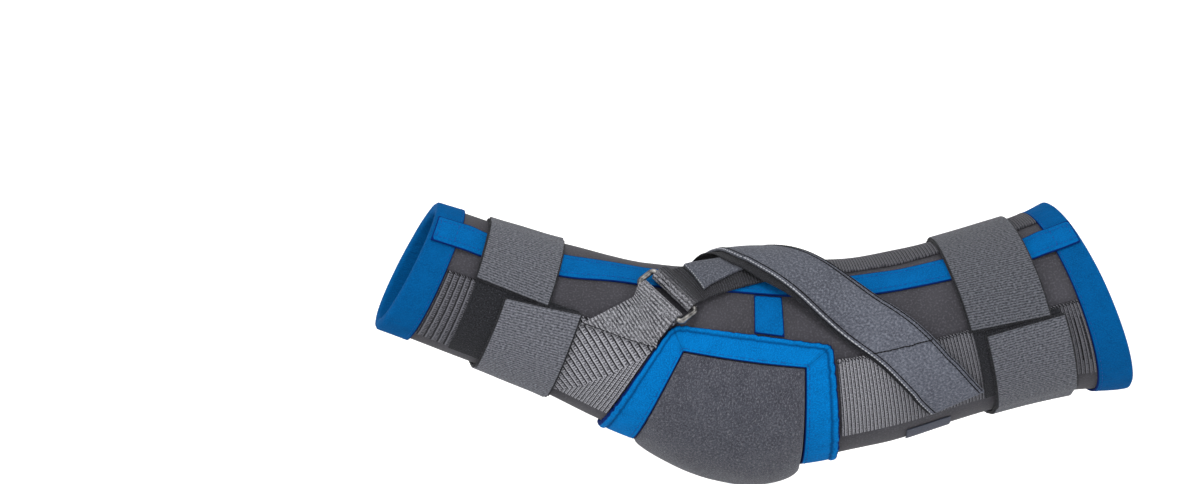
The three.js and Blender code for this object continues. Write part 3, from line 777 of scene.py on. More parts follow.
def forearm_band_weave(place):
    """Weave coordinates of a forearm band: x runs across its ribs, whatever way they lie."""

    def pattern(centre, u, v):
        along_here, angle_here = place(*centre)
        along, angle = place(u, v)
        round_arm = 0.74 * angle
        columns = pad_left_edge(wrapped(angle)) - along
        to_pad = pad_left_edge(wrapped(angle_here)) - along_here
        mitre = 28 - 0.45 * (angle_here + 57)
        if along_here < -112:
            return along, round_arm
        if to_pad < mitre:
            return columns * CHANNEL_PITCH / COLUMN_PITCH + 400, round_arm
        across = along * math.cos(RIB_HEADING) + round_arm * math.sin(RIB_HEADING)
        return across + 900, along * math.sin(RIB_HEADING) - round_arm * math.cos(RIB_HEADING)

    return pattern


def forearm_band_tone(place):
    def tone(u, v):
        along, angle = place(u, v)
        return mix(0.05, 0.68, smooth(along, -122, -98))

    return tone


def arm_band_weave(place):
    def pattern(centre, u, v):
        along, angle = place(u, v)
        return along * CHANNEL_PITCH / FINE_PITCH, 1.5 * angle

    return pattern


def arm_band_tone(place):
    """Paler by the pad, darker towards the cuff and on the inner band."""

    def tone(u, v):
        along, angle = place(u, v)
        shade = mix(0.62, 0.22, smooth(along, 45, 80)) - 0.15 * smooth(along, 120, 140)
        return shade * (0.2 if angle > 50 else 1)

    return tone


# Knitted elastic: each channel has a groove darkened with painted shade, a pale cord beside it and a
# field of short cross stitches in heathered yarn. "tone" is the shade from dull to bright.
elastic, tree, shader, weave, place = cloth("ribbed knitted elastic", 0.85, sheen=0.08)
channels = add_node(
    tree,
    "TexWave",
    {
        "Vector": weave,
        "Scale": BAND_SCALE / (CHANNEL_PITCH * METRES),
        "Distortion": 0.5,
        "Detail": 2.0,
        "Detail Scale": 3.0,
    },
    "Fac",
    bands_direction="X",
    wave_profile="SAW",
)
stitches = add_node(
    tree,
    "TexWave",
    {
        "Vector": weave,
        "Scale": BAND_SCALE / 0.0013,
        "Distortion": 1.5,
        "Detail": 2.0,
        "Detail Scale": 3.0,
    },
    "Fac",
    bands_direction="Y",
)
yarn = add_node(tree, "TexNoise", {"Vector": weave, "Scale": 900.0, "Detail": 3.0}, "Fac")
tone = add_node(tree, "Attribute", output="Fac", attribute_name="tone")
bright = add_node(tree, "Mix", {0: tone, 6: 0x6C6C74, 7: 0xD2D2DA}, 2, data_type="RGBA")
dull = add_node(tree, "Mix", {0: tone, 6: 0x2C2C31, 7: 0x4A4A51}, 2, data_type="RGBA")
crossed = add_node(tree, "MapRange", [stitches, 0.15, 0.85, 0.2, 1.0])
spun = add_node(tree, "MapRange", [yarn, 0.38, 0.62, 0.2, 1.2])
heather = add_node(tree, "Math", [crossed, spun], operation="MULTIPLY")
field = add_node(tree, "Mix", {0: heather, 6: dull, 7: bright}, 2, data_type="RGBA")
cord = add_node(tree, "MapRange", [channels, 0.4, 0.52, 0.9, 0.0])
corded = add_node(tree, "Mix", {0: cord, 6: field, 7: bright}, 2, data_type="RGBA")
# Painted shade: near black in each channel's groove.
raised = add_node(tree, "MapRange", [channels, 0.2, 0.3])
groove_shaded = add_node(tree, "Mix", {0: raised, 6: 0x232327, 7: corded}, 2, data_type="RGBA")
rungs = add_node(tree, "MapRange", [stitches, 0.0, 1.0, 0.7, 1.0])
relief = add_node(tree, "Math", [raised, rungs], operation="MULTIPLY")
finish_cloth(tree, shader, groove_shaded, relief, 0.4)

forearm_band_look = (forearm_band_weave, forearm_band_tone, (130, 76))
arm_band_look = (arm_band_weave, arm_band_tone, (110, 50))
band_rows = (
    ("forearm_band_outer", forearm_band_place(9, -57), *forearm_band_look),
    ("forearm_band_inner", forearm_band_place(171, 237), *forearm_band_look),
    ("arm_band_outer", arm_band_place(1, -50), *arm_band_look),
    ("arm_band_inner", arm_band_place(118, 62), *arm_band_look),
)
for name, place, weave_of, tone_of, cells in band_rows:
    size = (cells[0] * 0.9, cells[1] * 0.72)
    corner = laid(place, LAYER_GAP, BAND_THICKNESS)
    band = slab(name, cells, corner, size, pattern=weave_of(place), tone=tone_of(place))
    dress(band, elastic, name)

# Wide straps: 37 mm brushed loop elastic wound once round the sleeve over both bands, with a thin black
# lining that shows along the edges; that lining and the strap's black edges are partly its own black
# and partly painted shade along the edges. The ends meet on the outer side, one beside the other, on
# black hook patches sewn to the bands.
STRAP_WIDTH = 37.0
STRAP_THICKNESS = 1.7
LINING_AND_SHADE_THICKNESS = 0.6
HOOK_THICKNESS = 0.8
OVER_HOOK = OVER_BAND + HOOK_THICKNESS + LAYER_GAP

# Moulded hook tape: black and matt, a field of tiny hooks with grey fluff caught in it.
hook_tape, tree, shader, weave, place = cloth("black hook tape", 1.0, sheen=0.1)
hooks = add_node(
    tree, "TexNoise", {"Vector": weave, "Scale": 1300.0, "Detail": 3.0, "Roughness": 0.7}, "Fac"
)
hooked = add_node(tree, "MapRange", [hooks, 0.35, 0.7])
base = add_node(tree, "Mix", {0: hooked, 6: 0x17181B, 7: 0x38393F}, 2, data_type="RGBA")
fluff = add_node(tree, "MapRange", [hooks, 0.62, 0.72, 0.0, 0.8])
fuzzy = add_node(tree, "Mix", {0: fluff, 6: base, 7: 0x6A6B72}, 2, data_type="RGBA")
finish_cloth(tree, shader, fuzzy, hooks, 0.6)

# Brushed loop elastic: grey nap in rows across the strap, broken into short dashes, painted paler on
# its raised nap as painted light and darker in its hollows as painted shade. Real rows are about 0.6 mm
# apart and are drawn at 1.2 mm to show.
loop_cloth, tree, shader, weave, place = cloth("brushed loop elastic", 0.9, sheen=0.15)
rows = add_node(
    tree,
    "TexWave",
    {
        "Vector": weave,
        "Scale": BAND_SCALE / 0.0012,
        "Distortion": 2.0,
        "Detail": 2.0,
        "Detail Scale": 1.5,
    },
    "Fac",
    bands_direction="X",
)
dash_place = add_node(tree, "Mapping", {"Vector": weave, "Scale": (1 / 0.00055, 1 / 0.0013, 1)})
dashes = add_node(tree, "TexNoise", {"Vector": dash_place, "Scale": 1.0, "Detail": 2.0}, "Fac")
fluff = add_node(
    tree, "TexNoise", {"Vector": weave, "Scale": 900.0, "Detail": 3.0, "Roughness": 0.75}, "Fac"
)
tone = add_node(tree, "Attribute", output="Fac", attribute_name="tone")
faint_rows = add_node(tree, "Math", [rows, 0.3], operation="MULTIPLY")
nap = add_node(tree, "Math", [dashes, fluff], operation="ADD")
brushed = add_node(tree, "Math", [faint_rows, nap], operation="ADD")
raised = add_node(tree, "MapRange", [brushed, 0.92, 1.48])
# Painted shade in the hollows of the nap and painted light on its crests.
hollow_shade = add_node(tree, "Mix", {0: tone, 6: 0x313338, 7: 0x46484F}, 2, data_type="RGBA")
crest_light = add_node(tree, "Mix", {0: tone, 6: 0x73757E, 7: 0x92949E}, 2, data_type="RGBA")
shaded = add_node(tree, "Mix", {0: raised, 6: hollow_shade, 7: crest_light}, 2, data_type="RGBA")
finish_cloth(tree, shader, shaded, brushed, 0.35)


def wide_strap_place(start, end, upper, lower):
    """upper and lower are the angles of the strap's two ends, each at its left and right edge."""

    def place(u, v):
        angle = mix(mix(upper[0], upper[1], v), mix(lower[0], lower[1], v) + 360, u)
        middle = mix(start, end, smooth(angle, 70, 290))
        return middle + (v - 0.5) * STRAP_WIDTH, angle

    return place


def wide_strap_height(settled):
    def height(along, angle, u):
        over_patch = 1 - smooth(angle, 15, 36) + smooth(angle, 284, 300)
        settling = max(
            smooth(angle, first, first + 14) - smooth(angle, last - 14, last) for first, last in settled
        )
        return mix(mix(OVER_BAND, OVER_HOOK, over_patch), LAYER_GAP * 2, settling)

    return height


FOREARM_STRAP = (from_elbow(-0.735), from_elbow(-0.64))
ARM_STRAP = (from_elbow(0.712), from_elbow(0.75))
strap_rows = (
    ("forearm_strap", FOREARM_STRAP, (10, 7.4), (2.5, 8.5), ((62, 164), (242, 296)), (0.5, 0.85), 232),
    ("arm_strap", ARM_STRAP, (0, -3.4), (-5.6, -5.2), ((128, 250), (252, 304)), (0.15, 0.45), 285),
)
# Painted light and shade: each strap is darker towards its upper end and lighter towards its lower end.
for name, middles, upper, lower, settled, painted_light_tones, length in strap_rows:
    place = wide_strap_place(*middles, upper, lower)
    strap = slab(
        name,
        (220, 40),
        laid(place, wide_strap_height(settled), STRAP_THICKNESS),
        (length, STRAP_WIDTH),
        tone=lambda u, v, painted_light_tones=painted_light_tones: mix(painted_light_tones[0], painted_light_tones[1], smooth(u, 0.4, 0.6)),
        bevel=0.35,
        lined_with_edge_shade=True,
    )
    dress(strap, loop_cloth, name)
    strap.data.materials.append(hook_tape)
    # Partly painted shade: the black back and edges of the strap and the wider black sheet under it.
    wider = lambda u, v, place=place: place(mix(-0.0035, 1.0035, u), mix(-0.022, 1.022, v))
    lining_and_edge_shade_corner = laid(wider, wide_strap_height(settled), LINING_AND_SHADE_THICKNESS)
    lining_and_edge_shade = slab(name + "_lining", (150, 12), lining_and_edge_shade_corner, (length, STRAP_WIDTH + 1.6), bevel=0)
    dress(lining_and_edge_shade, hook_tape, name)

hook_rows = (
    ("forearm_hook_patch", FOREARM_STRAP, 11, -56),
    ("arm_hook_patch", ARM_STRAP, -0.5, -48),
)
for name, middles, top_angle, bottom_angle in hook_rows:
    first, last = middles[0] - STRAP_WIDTH / 2 + 0.5, middles[1] + STRAP_WIDTH / 2 - 1
    patch_place = lambda u, v: (mix(first, last, u), mix(top_angle, bottom_angle, v))
    patch = slab(name, (50, 50), laid(patch_place, OVER_BAND, HOOK_THICKNESS), (last - first, 45))
    dress(patch, hook_tape, name)

# Buckle: a loop of plated wire, 13 mm deep, bent to a rounded rectangle.
NARROW_WIDTH = 25.0
NARROW_THICKNESS = 1.5
BUCKLE_CLEARANCE = 0.9
BUCKLE_DEPTH = 13.0
BUCKLE_WIRE = 2.8
BUCKLE_CORNER = 2.0
BUCKLE_ALONG = from_elbow(-0.305)
BUCKLE_ANGLE = 36.0
BUCKLE_HEADING = math.radians(50)
FOLD_RADIUS = BUCKLE_WIRE / 2 + LAYER_GAP + NARROW_THICKNESS / 2
BUCKLE_HEIGHT = OVER_TAPE + NARROW_THICKNESS / 2 + FOLD_RADIUS
BAR_OFFSET = (BUCKLE_DEPTH - BUCKLE_WIRE) / 2
BUCKLE_WIDTH = NARROW_WIDTH + 2 * (BUCKLE_CLEARANCE + BUCKLE_WIRE)

buckle_centre = on_arm(BUCKLE_ALONG, BUCKLE_ANGLE, 0)
buckle_forward = (on_arm(BUCKLE_ALONG + 1, BUCKLE_ANGLE, 0) - buckle_centre).normalized()
buckle_round = on_arm(BUCKLE_ALONG, BUCKLE_ANGLE + 1, 0) - buckle_centre
buckle_round = (buckle_round - buckle_forward * buckle_round.dot(buckle_forward)).normalized()
buckle_outward = buckle_round.cross(buckle_forward).normalized()
if buckle_outward.dot(on_arm(BUCKLE_ALONG, BUCKLE_ANGLE, 1) - buckle_centre) < 0:
    buckle_outward.negate()


def by_buckle(ahead, across, height):
    """Point in the flat frame of the buckle: along the narrow strap, across it and outwards."""
    strap_axis = buckle_forward * math.cos(BUCKLE_HEADING) + buckle_round * math.sin(BUCKLE_HEADING)
    bar_axis = buckle_forward * math.sin(BUCKLE_HEADING) - buckle_round * math.cos(BUCKLE_HEADING)
    return buckle_centre + strap_axis * ahead + bar_axis * across + buckle_outward * height


wire_stations = outline_stations(10, 24, 8)


def wire_corner(u, v, side):
    station = wire_stations[round(v * len(wire_stations)) % len(wire_stations)]
    middle_size = BUCKLE_DEPTH - BUCKLE_WIRE, BUCKLE_WIDTH - BUCKLE_WIRE
    middle = outline_point(station, *middle_size, (BUCKLE_CORNER,) * 4)
    outer_corners = (BUCKLE_CORNER + BUCKLE_WIRE / 2,) * 4
    outline = outline_point(station, BUCKLE_DEPTH, BUCKLE_WIDTH, outer_corners)
    turn = 2 * math.pi * u
    x = mix(middle[0], outline[0], math.cos(turn))
    y = mix(middle[1], outline[1], math.cos(turn))
    return by_buckle(x, y, BUCKLE_HEIGHT + BUCKLE_WIRE / 2 * math.sin(turn))


def ring_tube(name, steps, stations, corner):
    """Closed tube through a closed run of rings."""
    bm = bmesh.new()
    bmesh.ops.create_grid(bm, x_segments=steps, y_segments=stations, size=0.5)
    for vert in bm.verts:
        vert.co = corner(vert.co.x + 0.5, vert.co.y + 0.5, 1) * METRES
    bmesh.ops.remove_doubles(bm, verts=bm.verts[:], dist=1e-6)
    bmesh.ops.recalc_face_normals(bm, faces=bm.faces[:])
    return finished(name, bm)


# Plated steel wire, gunmetal: a metal with soft highlights, rougher and paler where it is scuffed.
gunmetal = bpy.data.materials.new("gunmetal plated wire")
gunmetal.use_nodes = True
tree = gunmetal.node_tree
shader = tree.nodes["Principled BSDF"]
shader.inputs["Metallic"].default_value = 1.0
place = add_node(tree, "TexCoord", output="Object")
scuffs = add_node(tree, "TexNoise", {"Vector": place, "Scale": 1 / 0.0025, "Detail": 3.0}, "Fac")
scuffed = add_node(tree, "MapRange", [scuffs, 0.35, 0.65])
metal = add_node(tree, "Mix", {0: scuffed, 6: 0x6A6867, 7: 0xA9A7A4}, 2, data_type="RGBA")
tree.links.new(metal, shader.inputs["Base Color"])
tree.links.new(add_node(tree, "MapRange", [scuffs, 0.3, 0.7, 0.28, 0.42]), shader.inputs["Roughness"])

buckle = ring_tube("buckle", 20, len(wire_stations), wire_corner)
dress(buckle, gunmetal, "buckle")

# Buckle webbing: 25 mm ribbed elastic, sewn to the forearm band and folded round the nearer bar. It
# widens towards its base, by WEBBING_SPREAD on the cuff's side and WEBBING_LEAN on the pad's.
FOLD_TAIL = 3.0


def fold_rows():
    """Side view of the fold round a bar: distance past the bar's middle, height, share of the base."""
    rows = [(-FOLD_TAIL * (1 - step / 3), BUCKLE_HEIGHT - FOLD_RADIUS, 0.0) for step in range(3)]
    for turn in range(-90, 121, 10):
        past = FOLD_RADIUS * math.cos(math.radians(turn))
        rows.append((past, BUCKLE_HEIGHT + FOLD_RADIUS * math.sin(math.radians(turn)), 0.0))
    return rows


def ramp_rows(top, ramp_length, level):
    """Side view of the strap from the top of its fold down to the layer under it."""
    shares = [step / 8 for step in range(1, 9)]
    return [(mix(top[0], -ramp_length, s), mix(top[1], level, smooth(s, 0, 1)), 0.0) for s in shares]


def walked(rows, base_length=0.0):
    """Distance walked along side-view rows, row by row."""
    distances = [0.0]
    for before, after in zip(rows, rows[1:]):
        step = math.hypot(after[0] - before[0], after[1] - before[1])
        distances.append(distances[-1] + step + base_length * (after[2] - before[2]))
    return distances


def folded_weave(rows, base_length=lambda across: 0.0):
    """Weave coordinates of a folded strap, so that its ribs stay parallel to the bars."""

    def pattern(centre, u, v):
        across = (v - 0.5) * NARROW_WIDTH
        return walked(rows, base_length(across))[round(u * (len(rows) - 1))], across

    return pattern


def folded_corner(rows, point):
    """Corner function of a sheet that follows side-view rows."""

    def corner(u, v, side):
        index = round(u * (len(rows) - 1))
        before, after = rows[max(0, index - 1)], rows[min(len(rows) - 1, index + 1)]
        run, climb = after[0] - before[0], after[1] - before[1]
        if after[2] != before[2]:
            run, climb = -1.0, 0.0
        length = math.hypot(run, climb)
        half = NARROW_THICKNESS / 2 * (1 if side else -1)
        past = rows[index][0] + climb / length * half
        height = rows[index][1] - run / length * half
        return point(rows[index], (v - 0.5) * NARROW_WIDTH, past, height)

    return corner


WEBBING_RAMP = 10.0
WEBBING_BASE_ANGLE = 3.0
WEBBING_SPREAD = 3.5
WEBBING_LEAN = 3.0
webbing_rows = fold_rows()
webbing_level = OVER_BAND + NARROW_THICKNESS / 2
webbing_rows += ramp_rows(webbing_rows[-1], WEBBING_RAMP, webbing_level)
webbing_rows += [(-WEBBING_RAMP, webbing_level, step / 24) for step in range(1, 25)]
round_scale = scales(BUCKLE_ALONG, BUCKLE_ANGLE)[1]
heading_cos, heading_sin = math.cos(BUCKLE_HEADING), math.sin(BUCKLE_HEADING)
ramp_end = -BAR_OFFSET - WEBBING_RAMP


def webbing_start(across):
    """How far back from the buckle the slanting seam on the band lies."""
    return ((WEBBING_BASE_ANGLE - BUCKLE_ANGLE) * round_scale + across * heading_cos) / heading_sin


def webbing_point(row, across, past, height):
    ahead = mix(ramp_end, webbing_start(across), row[2]) if row[2] else past - BAR_OFFSET
    spread = mix(-WEBBING_LEAN, WEBBING_SPREAD, 0.5 - across / NARROW_WIDTH) * row[2]
    along = BUCKLE_ALONG + ahead * heading_cos + across * heading_sin - spread
    angle = BUCKLE_ANGLE + (ahead * heading_sin - across * heading_cos) / round_scale
    flat = smooth(ahead, ramp_end, -BAR_OFFSET - 2)
    return on_arm(along, angle, height).lerp(by_buckle(ahead, across, height), flat)


# Ribbed webbing: pale ribs across the strap with dark grooves, broken by the yarn; the ribs' paleness
# is painted light and the grooves' darkness painted shade, fainter in some places than others. "tone"
# runs from the check strap's painted shade to the grey webbing.
webbing_cloth, tree, shader, weave, place = cloth("grey ribbed webbing", 0.85, sheen=0.05)
ribs = add_node(
    tree,
    "TexWave",
    {
        "Vector": weave,
        "Scale": BAND_SCALE / 0.0016,
        "Distortion": 1.4,
        "Detail": 2.0,
        "Detail Scale": 2.5,
    },
    "Fac",
    bands_direction="X",
)
yarn_place = add_node(tree, "Mapping", {"Vector": weave, "Scale": (1 / 0.0005, 1 / 0.0011, 1)})
yarn = add_node(tree, "TexNoise", {"Vector": yarn_place, "Scale": 1.0, "Detail": 2.0}, "Fac")
tone = add_node(tree, "Attribute", output="Fac", attribute_name="tone")
mottle = add_node(tree, "TexNoise", {"Vector": place, "Scale": 1 / 0.007, "Detail": 3.0}, "Fac")
# Painted shade in the grooves, fainter in patches, and painted light on the ribs.
faint_groove_shade = add_node(tree, "MapRange", [mottle, 0.4, 0.65, 0.6, 0.0])
crests = add_node(tree, "MapRange", [ribs, 0.05, 0.6])
rib = add_node(tree, "Math", [crests, faint_groove_shade], operation="MAXIMUM")
spun = add_node(tree, "MapRange", [yarn, 0.38, 0.6, 0.15, 1.15])
broken = add_node(tree, "Math", [rib, spun], operation="MULTIPLY")
groove = add_node(tree, "Mix", {0: tone, 6: 0x26262A, 7: 0x303035}, 2, data_type="RGBA")
lit = add_node(tree, "Mix", {0: tone, 6: 0x46464C, 7: 0xDADAE2}, 2, data_type="RGBA")
ribbed = add_node(tree, "Mix", {0: broken, 6: groove, 7: lit}, 2, data_type="RGBA")
finish_cloth(tree, shader, ribbed, add_node(tree, "MapRange", [ribs, 0.0, 0.7]), 0.5)

webbing = slab(
    "buckle_webbing",
    (len(webbing_rows) - 1, 28),
    folded_corner(webbing_rows, webbing_point),
    (52, NARROW_WIDTH),
    pattern=folded_weave(webbing_rows, lambda across: ramp_end - webbing_start(across)),
    tone=lambda u, v: 0.6,
)
dress(webbing, webbing_cloth, "buckle_webbing")

dark_thread, tree, shader, weave, place = cloth("black thread", 0.8)
shader.inputs["Base Color"].default_value = linear(0x131316)


def webbing_seam(share):
    across = (share - 0.5) * (NARROW_WIDTH - 1)
    return webbing_point(webbing_rows[-2], across, 0, OVER_BAND + NARROW_THICKNESS + 0.05)


seam_stitches = sew("webbing_seam", [(webbing_seam, 33)], dark_thread, 1.6, 1.9, 0.7)

# Check strap: 25 mm ribbed elastic folded round the other bar, laid over the front tape and sewn in
# under the cross strap. Past the fold it is painted dark, as painted shade under the tab and the cross
# strap.
CHECK_PATH = [(-0.305, 36), (-0.23, 52.5), (-0.135, 61), (-0.03, 67), (0.075, 72)]
CHECK_RAMP = 12.0
check_curve = curve_through(CHECK_PATH)
check_level = OVER_SEWN + NARROW_THICKNESS / 2
check_rows = fold_rows()
check_rows += ramp_rows(check_rows[-1], CHECK_RAMP, check_level)
check_rest = check_curve["length"] - BAR_OFFSET - CHECK_RAMP
check_rows += [(-CHECK_RAMP - check_rest * step / 48, check_level, 0.0) for step in range(1, 49)]


def check_point(row, across, past, height):
    ahead = BAR_OFFSET - past
    along, angle = beside_curve(check_curve, ahead / check_curve["length"], across)
    flat = 1 - smooth(ahead, BAR_OFFSET + 3, BAR_OFFSET + CHECK_RAMP)
    return on_arm(along, angle, height).lerp(by_buckle(ahead, across, height), flat)


# Painted shade: grey at the fold, dark past it where the tab and the cross strap lie over it.
def check_painted_shade(u, v):
    return mix(0.55, 0.0, smooth(u, 0.2, 0.34))


check_strap = slab(
    "check_strap",
    (len(check_rows) - 1, 28),
    folded_corner(check_rows, check_point),
    (90, NARROW_WIDTH),
    pattern=folded_weave(check_rows),
    tone=check_painted_shade,
)
dress(check_strap, webbing_cloth, "check_strap")

# Strap tab: smooth grey free end lying back on the check strap, its cut edge a little ragged.
OVER_CHECK = OVER_SEWN + NARROW_THICKNESS + LAYER_GAP
OVER_TAB = OVER_CHECK + NARROW_THICKNESS + LAYER_GAP
TAB_START = 17.0
TAB_LENGTH = 31.0
TAB_INSET = 4.0

# Tightly woven polyester: close and smooth, blue-grey, with a fine speckle of pale and dark threads
# drawn 1.2 mm apart so that it shows. "tone" is the shade from darker to brighter stretches.
smooth_strap, tree, shader, weave, place = cloth("smooth blue-grey strap", 0.8, sheen=0.1)
threads = add_node(
    tree, "TexNoise", {"Vector": weave, "Scale": 850.0, "Detail": 3.0, "Roughness": 0.7}, "Fac"
)
tone = add_node(tree, "Attribute", output="Fac", attribute_name="tone")
mottle = add_node(tree, "TexNoise", {"Vector": place, "Scale": 1 / 0.012, "Detail": 3.0}, "Fac")
worn = add_node(tree, "MapRange", [mottle, 0.3, 0.7])
dark = add_node(tree, "Mix", {0: worn, 6: 0x464952, 7: 0x50535D}, 2, data_type="RGBA")
bright = add_node(tree, "Mix", {0: worn, 6: 0x5C5F6B, 7: 0x686C78}, 2, data_type="RGBA")
base = add_node(tree, "Mix", {0: tone, 6: dark, 7: bright}, 2, data_type="RGBA")
pale_threads = add_node(tree, "MapRange", [threads, 0.5, 0.64, 0.0, 0.6])
speckled = add_node(tree, "Mix", {0: pale_threads, 6: base, 7: 0x8E929E}, 2, data_type="RGBA")
dark_threads = add_node(tree, "MapRange", [threads, 0.36, 0.49, 0.6, 0.0])
woven = add_node(tree, "Mix", {0: dark_threads, 6: speckled, 7: 0x3C3E47}, 2, data_type="RGBA")
finish_cloth(tree, shader, woven, threads, 0.2)


def tab_place(u, v):
    start = BAR_OFFSET + TAB_START
    ragged = 0.6 * noise.noise(Vector((v * 9, 3, 0))) if u == 0 else 0
    lower_edge = NARROW_WIDTH / 2 - TAB_INSET * mix(1, 2.2, u)
    offset = mix(-NARROW_WIDTH / 2 + 1, lower_edge, v)
    walked_on = mix(start, start + TAB_LENGTH, u) + ragged
    return beside_curve(check_curve, walked_on / check_curve["length"], offset)


tab_corner = laid(tab_place, OVER_CHECK, NARROW_THICKNESS)
strap_tab = slab("strap_tab", (48, 26), tab_corner, (TAB_LENGTH, 20), tone=lambda u, v: 0.1, bevel=0.35)
dress(strap_tab, smooth_strap, "strap_tab")

pale_thread, tree, shader, weave, place = cloth("pale grey thread", 0.8)
shader.inputs["Base Color"].default_value = linear(0xC2C4CA)


def tab_edge(share):
    return on_arm(*tab_place(0.004, share), OVER_CHECK + NARROW_THICKNESS * 0.9)


tab_threads = sew("tab_edge_threads", [(tab_edge, 22)], pale_thread, 0.9, 1.8, 0.5)

# Cross strap: 25 mm smooth strap from the wide half's outer side over the fold to the narrow half's
# inner side, on a black backing that shows along one edge. Pale thread runs down that edge and black
# thread down both, across the strap over the band's top edge and across its far end.
CROSS_PATH = [
    (0.535, -48),
    (0.41, 0),
    (0.29, 26),
    (0.135, 56),
    (-0.01, 80),
    (-0.065, 98),
    (-0.13, 120),
    (-0.195, 134),
    (-0.24, 146),
]
BACKING_THICKNESS = 0.8
BACKING_SHIFT = 1.5
BACKING_FLARE = 2.5
END_SLANT = 0.05
CROSS_LENGTH = 230.0
cross_curve = curve_through(CROSS_PATH)


def cross_lift(u):
    angle = beside_curve(cross_curve, u, 0)[1]
    return mix(OVER_BAND, OVER_TAB, smooth(angle, 16, 50) - smooth(angle, 108, 136))


def cross_place(u, v):
    return beside_curve(cross_curve, mix(END_SLANT * (1 - v), 1, u), (v - 0.5) * NARROW_WIDTH)


def backing_place(u, v):
    left = -NARROW_WIDTH / 2 - BACKING_SHIFT - BACKING_FLARE * smooth(u, 0.42, 0.58)
    share = mix(END_SLANT * (1 - v), 1, u)
    return beside_curve(cross_curve, share, mix(left, NARROW_WIDTH / 2 - BACKING_SHIFT, v))


cross_bottom = BACKING_THICKNESS + LAYER_GAP
backing = slab(
    "cross_strap_backing",
    (160, 24),
    laid(backing_place, lambda along, angle, u: cross_lift(u), BACKING_THICKNESS),
    (CROSS_LENGTH, 28),
)
dress(backing, hook_tape, "cross_strap_backing")
cross_strap = slab(
    "cross_strap",
    (200, 26),
    laid(cross_place, lambda along, angle, u: cross_bottom + cross_lift(u), NARROW_THICKNESS),
    (CROSS_LENGTH, NARROW_WIDTH),
    tone=lambda u, v: mix(0.9, 0.45, smooth(u, 0.25, 0.45)),
    bevel=0.4,
)
dress(cross_strap, smooth_strap, "cross_strap")


def cross_row(offset, start, end, height):
    def line(share):
        u = mix(start, end, share)
        along, angle = beside_curve(cross_curve, u, offset)
        return on_arm(along, angle, cross_bottom + cross_lift(u) + height)

    return line, CROSS_LENGTH * (end - start)


pale_row = cross_row(-NARROW_WIDTH / 2 + 0.3, END_SLANT, 0.99, NARROW_THICKNESS * 0.8)
edge_threads = sew("cross_strap_edge_threads", [pale_row], pale_thread, 1.4, 2.0, 0.9)


def across_strap(share):
    """Seam over the cross strap, in line with the top edge of the band under it."""
    offset = mix(-NARROW_WIDTH / 2 + 1, NARROW_WIDTH / 2 - 1, share)
    u = 0.0
    while beside_curve(cross_curve, u, offset)[1] < 1:
        u += 0.002
    along, angle = beside_curve(cross_curve, u, offset)
    return on_arm(along, angle, cross_bottom + cross_lift(u) + NARROW_THICKNESS)


def far_end_seam(share):
    u = 0.975
    along, angle = beside_curve(cross_curve, u, mix(-11, 11, share))
    return on_arm(along, angle, cross_bottom + cross_lift(u) + NARROW_THICKNESS)


strap_rows = [cross_row(NARROW_WIDTH / 2 - inset, 0.01, 0.99, NARROW_THICKNESS) for inset in (0.6, 2.2)]
strap_rows.append(cross_row(-NARROW_WIDTH / 2 + 1.7, END_SLANT, 0.99, NARROW_THICKNESS))
strap_rows += [(across_strap, 34), (far_end_seam, 23)]
edge_lines = sew("cross_strap_edge_lines", strap_rows, dark_thread, 1.7, 1.7, 0.85)

# Band stitches: black overlock thread zigzags along the top edge of the outer bands, and two bars of
# it cross the arm band by the cuff.


def zigzag(place, start, end, v, swing, pitch):
    """Zigzag of stitches along one row of a band."""

    def line(share):
        u = mix(start, end, share)
        along, angle = place(u, v)
        step = int(share * 2 * count) % 2
        return on_arm(along, angle + (swing if step else -swing), BAND_TOP + 0.1)

    length = (on_arm(*place(end, v), 0) - on_arm(*place(start, v), 0)).length
    count = int(length / pitch)
    return line, length


arm_outer_place = arm_band_place(1, -50)
forearm_outer_place = forearm_band_place(9, -57)
overlock_rows = [
    zigzag(arm_outer_place, 0.0, 1.0, 0.02, 1.2, 1.4),
    zigzag(forearm_outer_place, 0.0, 1.0, 0.012, 0.9, 1.4),
]
band_stitches = sew("band_stitches", overlock_rows, dark_thread, 1.6, 1.4, 0.55)
bar_rows = [cuff_line(along, -9, -38, BAND_TOP + 0.1) for along in (145.5, 148.5)]
bar_stitches = sew("band_bars", bar_rows, dark_thread, 1.4, 1.5, 0.6)

# Label: a small plain piece of woven satin, cut to a rectangle and sewn flat under the wide half of
# the sleeve.
LABEL_WIDTH = 20.0
LABEL_HEIGHT = 14.0
LABEL_THICKNESS = 0.6
LABEL_ALONG = from_elbow(0.38)
LABEL_TOP_ANGLE = -62

# Woven satin: blue-grey with a low sheen from threads that all run along the label.
satin, tree, shader, weave, place = cloth("blue-grey woven satin", 0.55)
threads = add_node(
    tree,
    "TexWave",
    {"Vector": weave, "Scale": BAND_SCALE / 0.0006, "Distortion": 0.6, "Detail": 1.0},
    "Fac",
    bands_direction="Y",
)
woven = add_node(tree, "Mix", {0: threads, 6: 0x464A57, 7: 0x5A5E6C}, 2, data_type="RGBA")
finish_cloth(tree, shader, woven, threads, 0.08)
degree = scales(LABEL_ALONG, -70)[1]


def label_place(u, v):
    return LABEL_ALONG + LABEL_WIDTH * u, LABEL_TOP_ANGLE - LABEL_HEIGHT * v / degree


label_corner = laid(label_place, LAYER_GAP, LABEL_THICKNESS)
label = slab("label", (24, 18), label_corner, (LABEL_WIDTH, LABEL_HEIGHT), bevel=0.15)
dress(label, satin, "label")

# Stage: a pale round floor that curves up into a low white wall all round, of white paper. It glows a
# little, more away from the brace, so that the ground behind the brace is plain white. A large soft
# light stands in front and another above.
FLOOR_LEVEL = -150.0
FLOOR_RADIUS = 2600.0
COVE_RADIUS = 900.0
BACKDROP_LENGTH = 4600.0


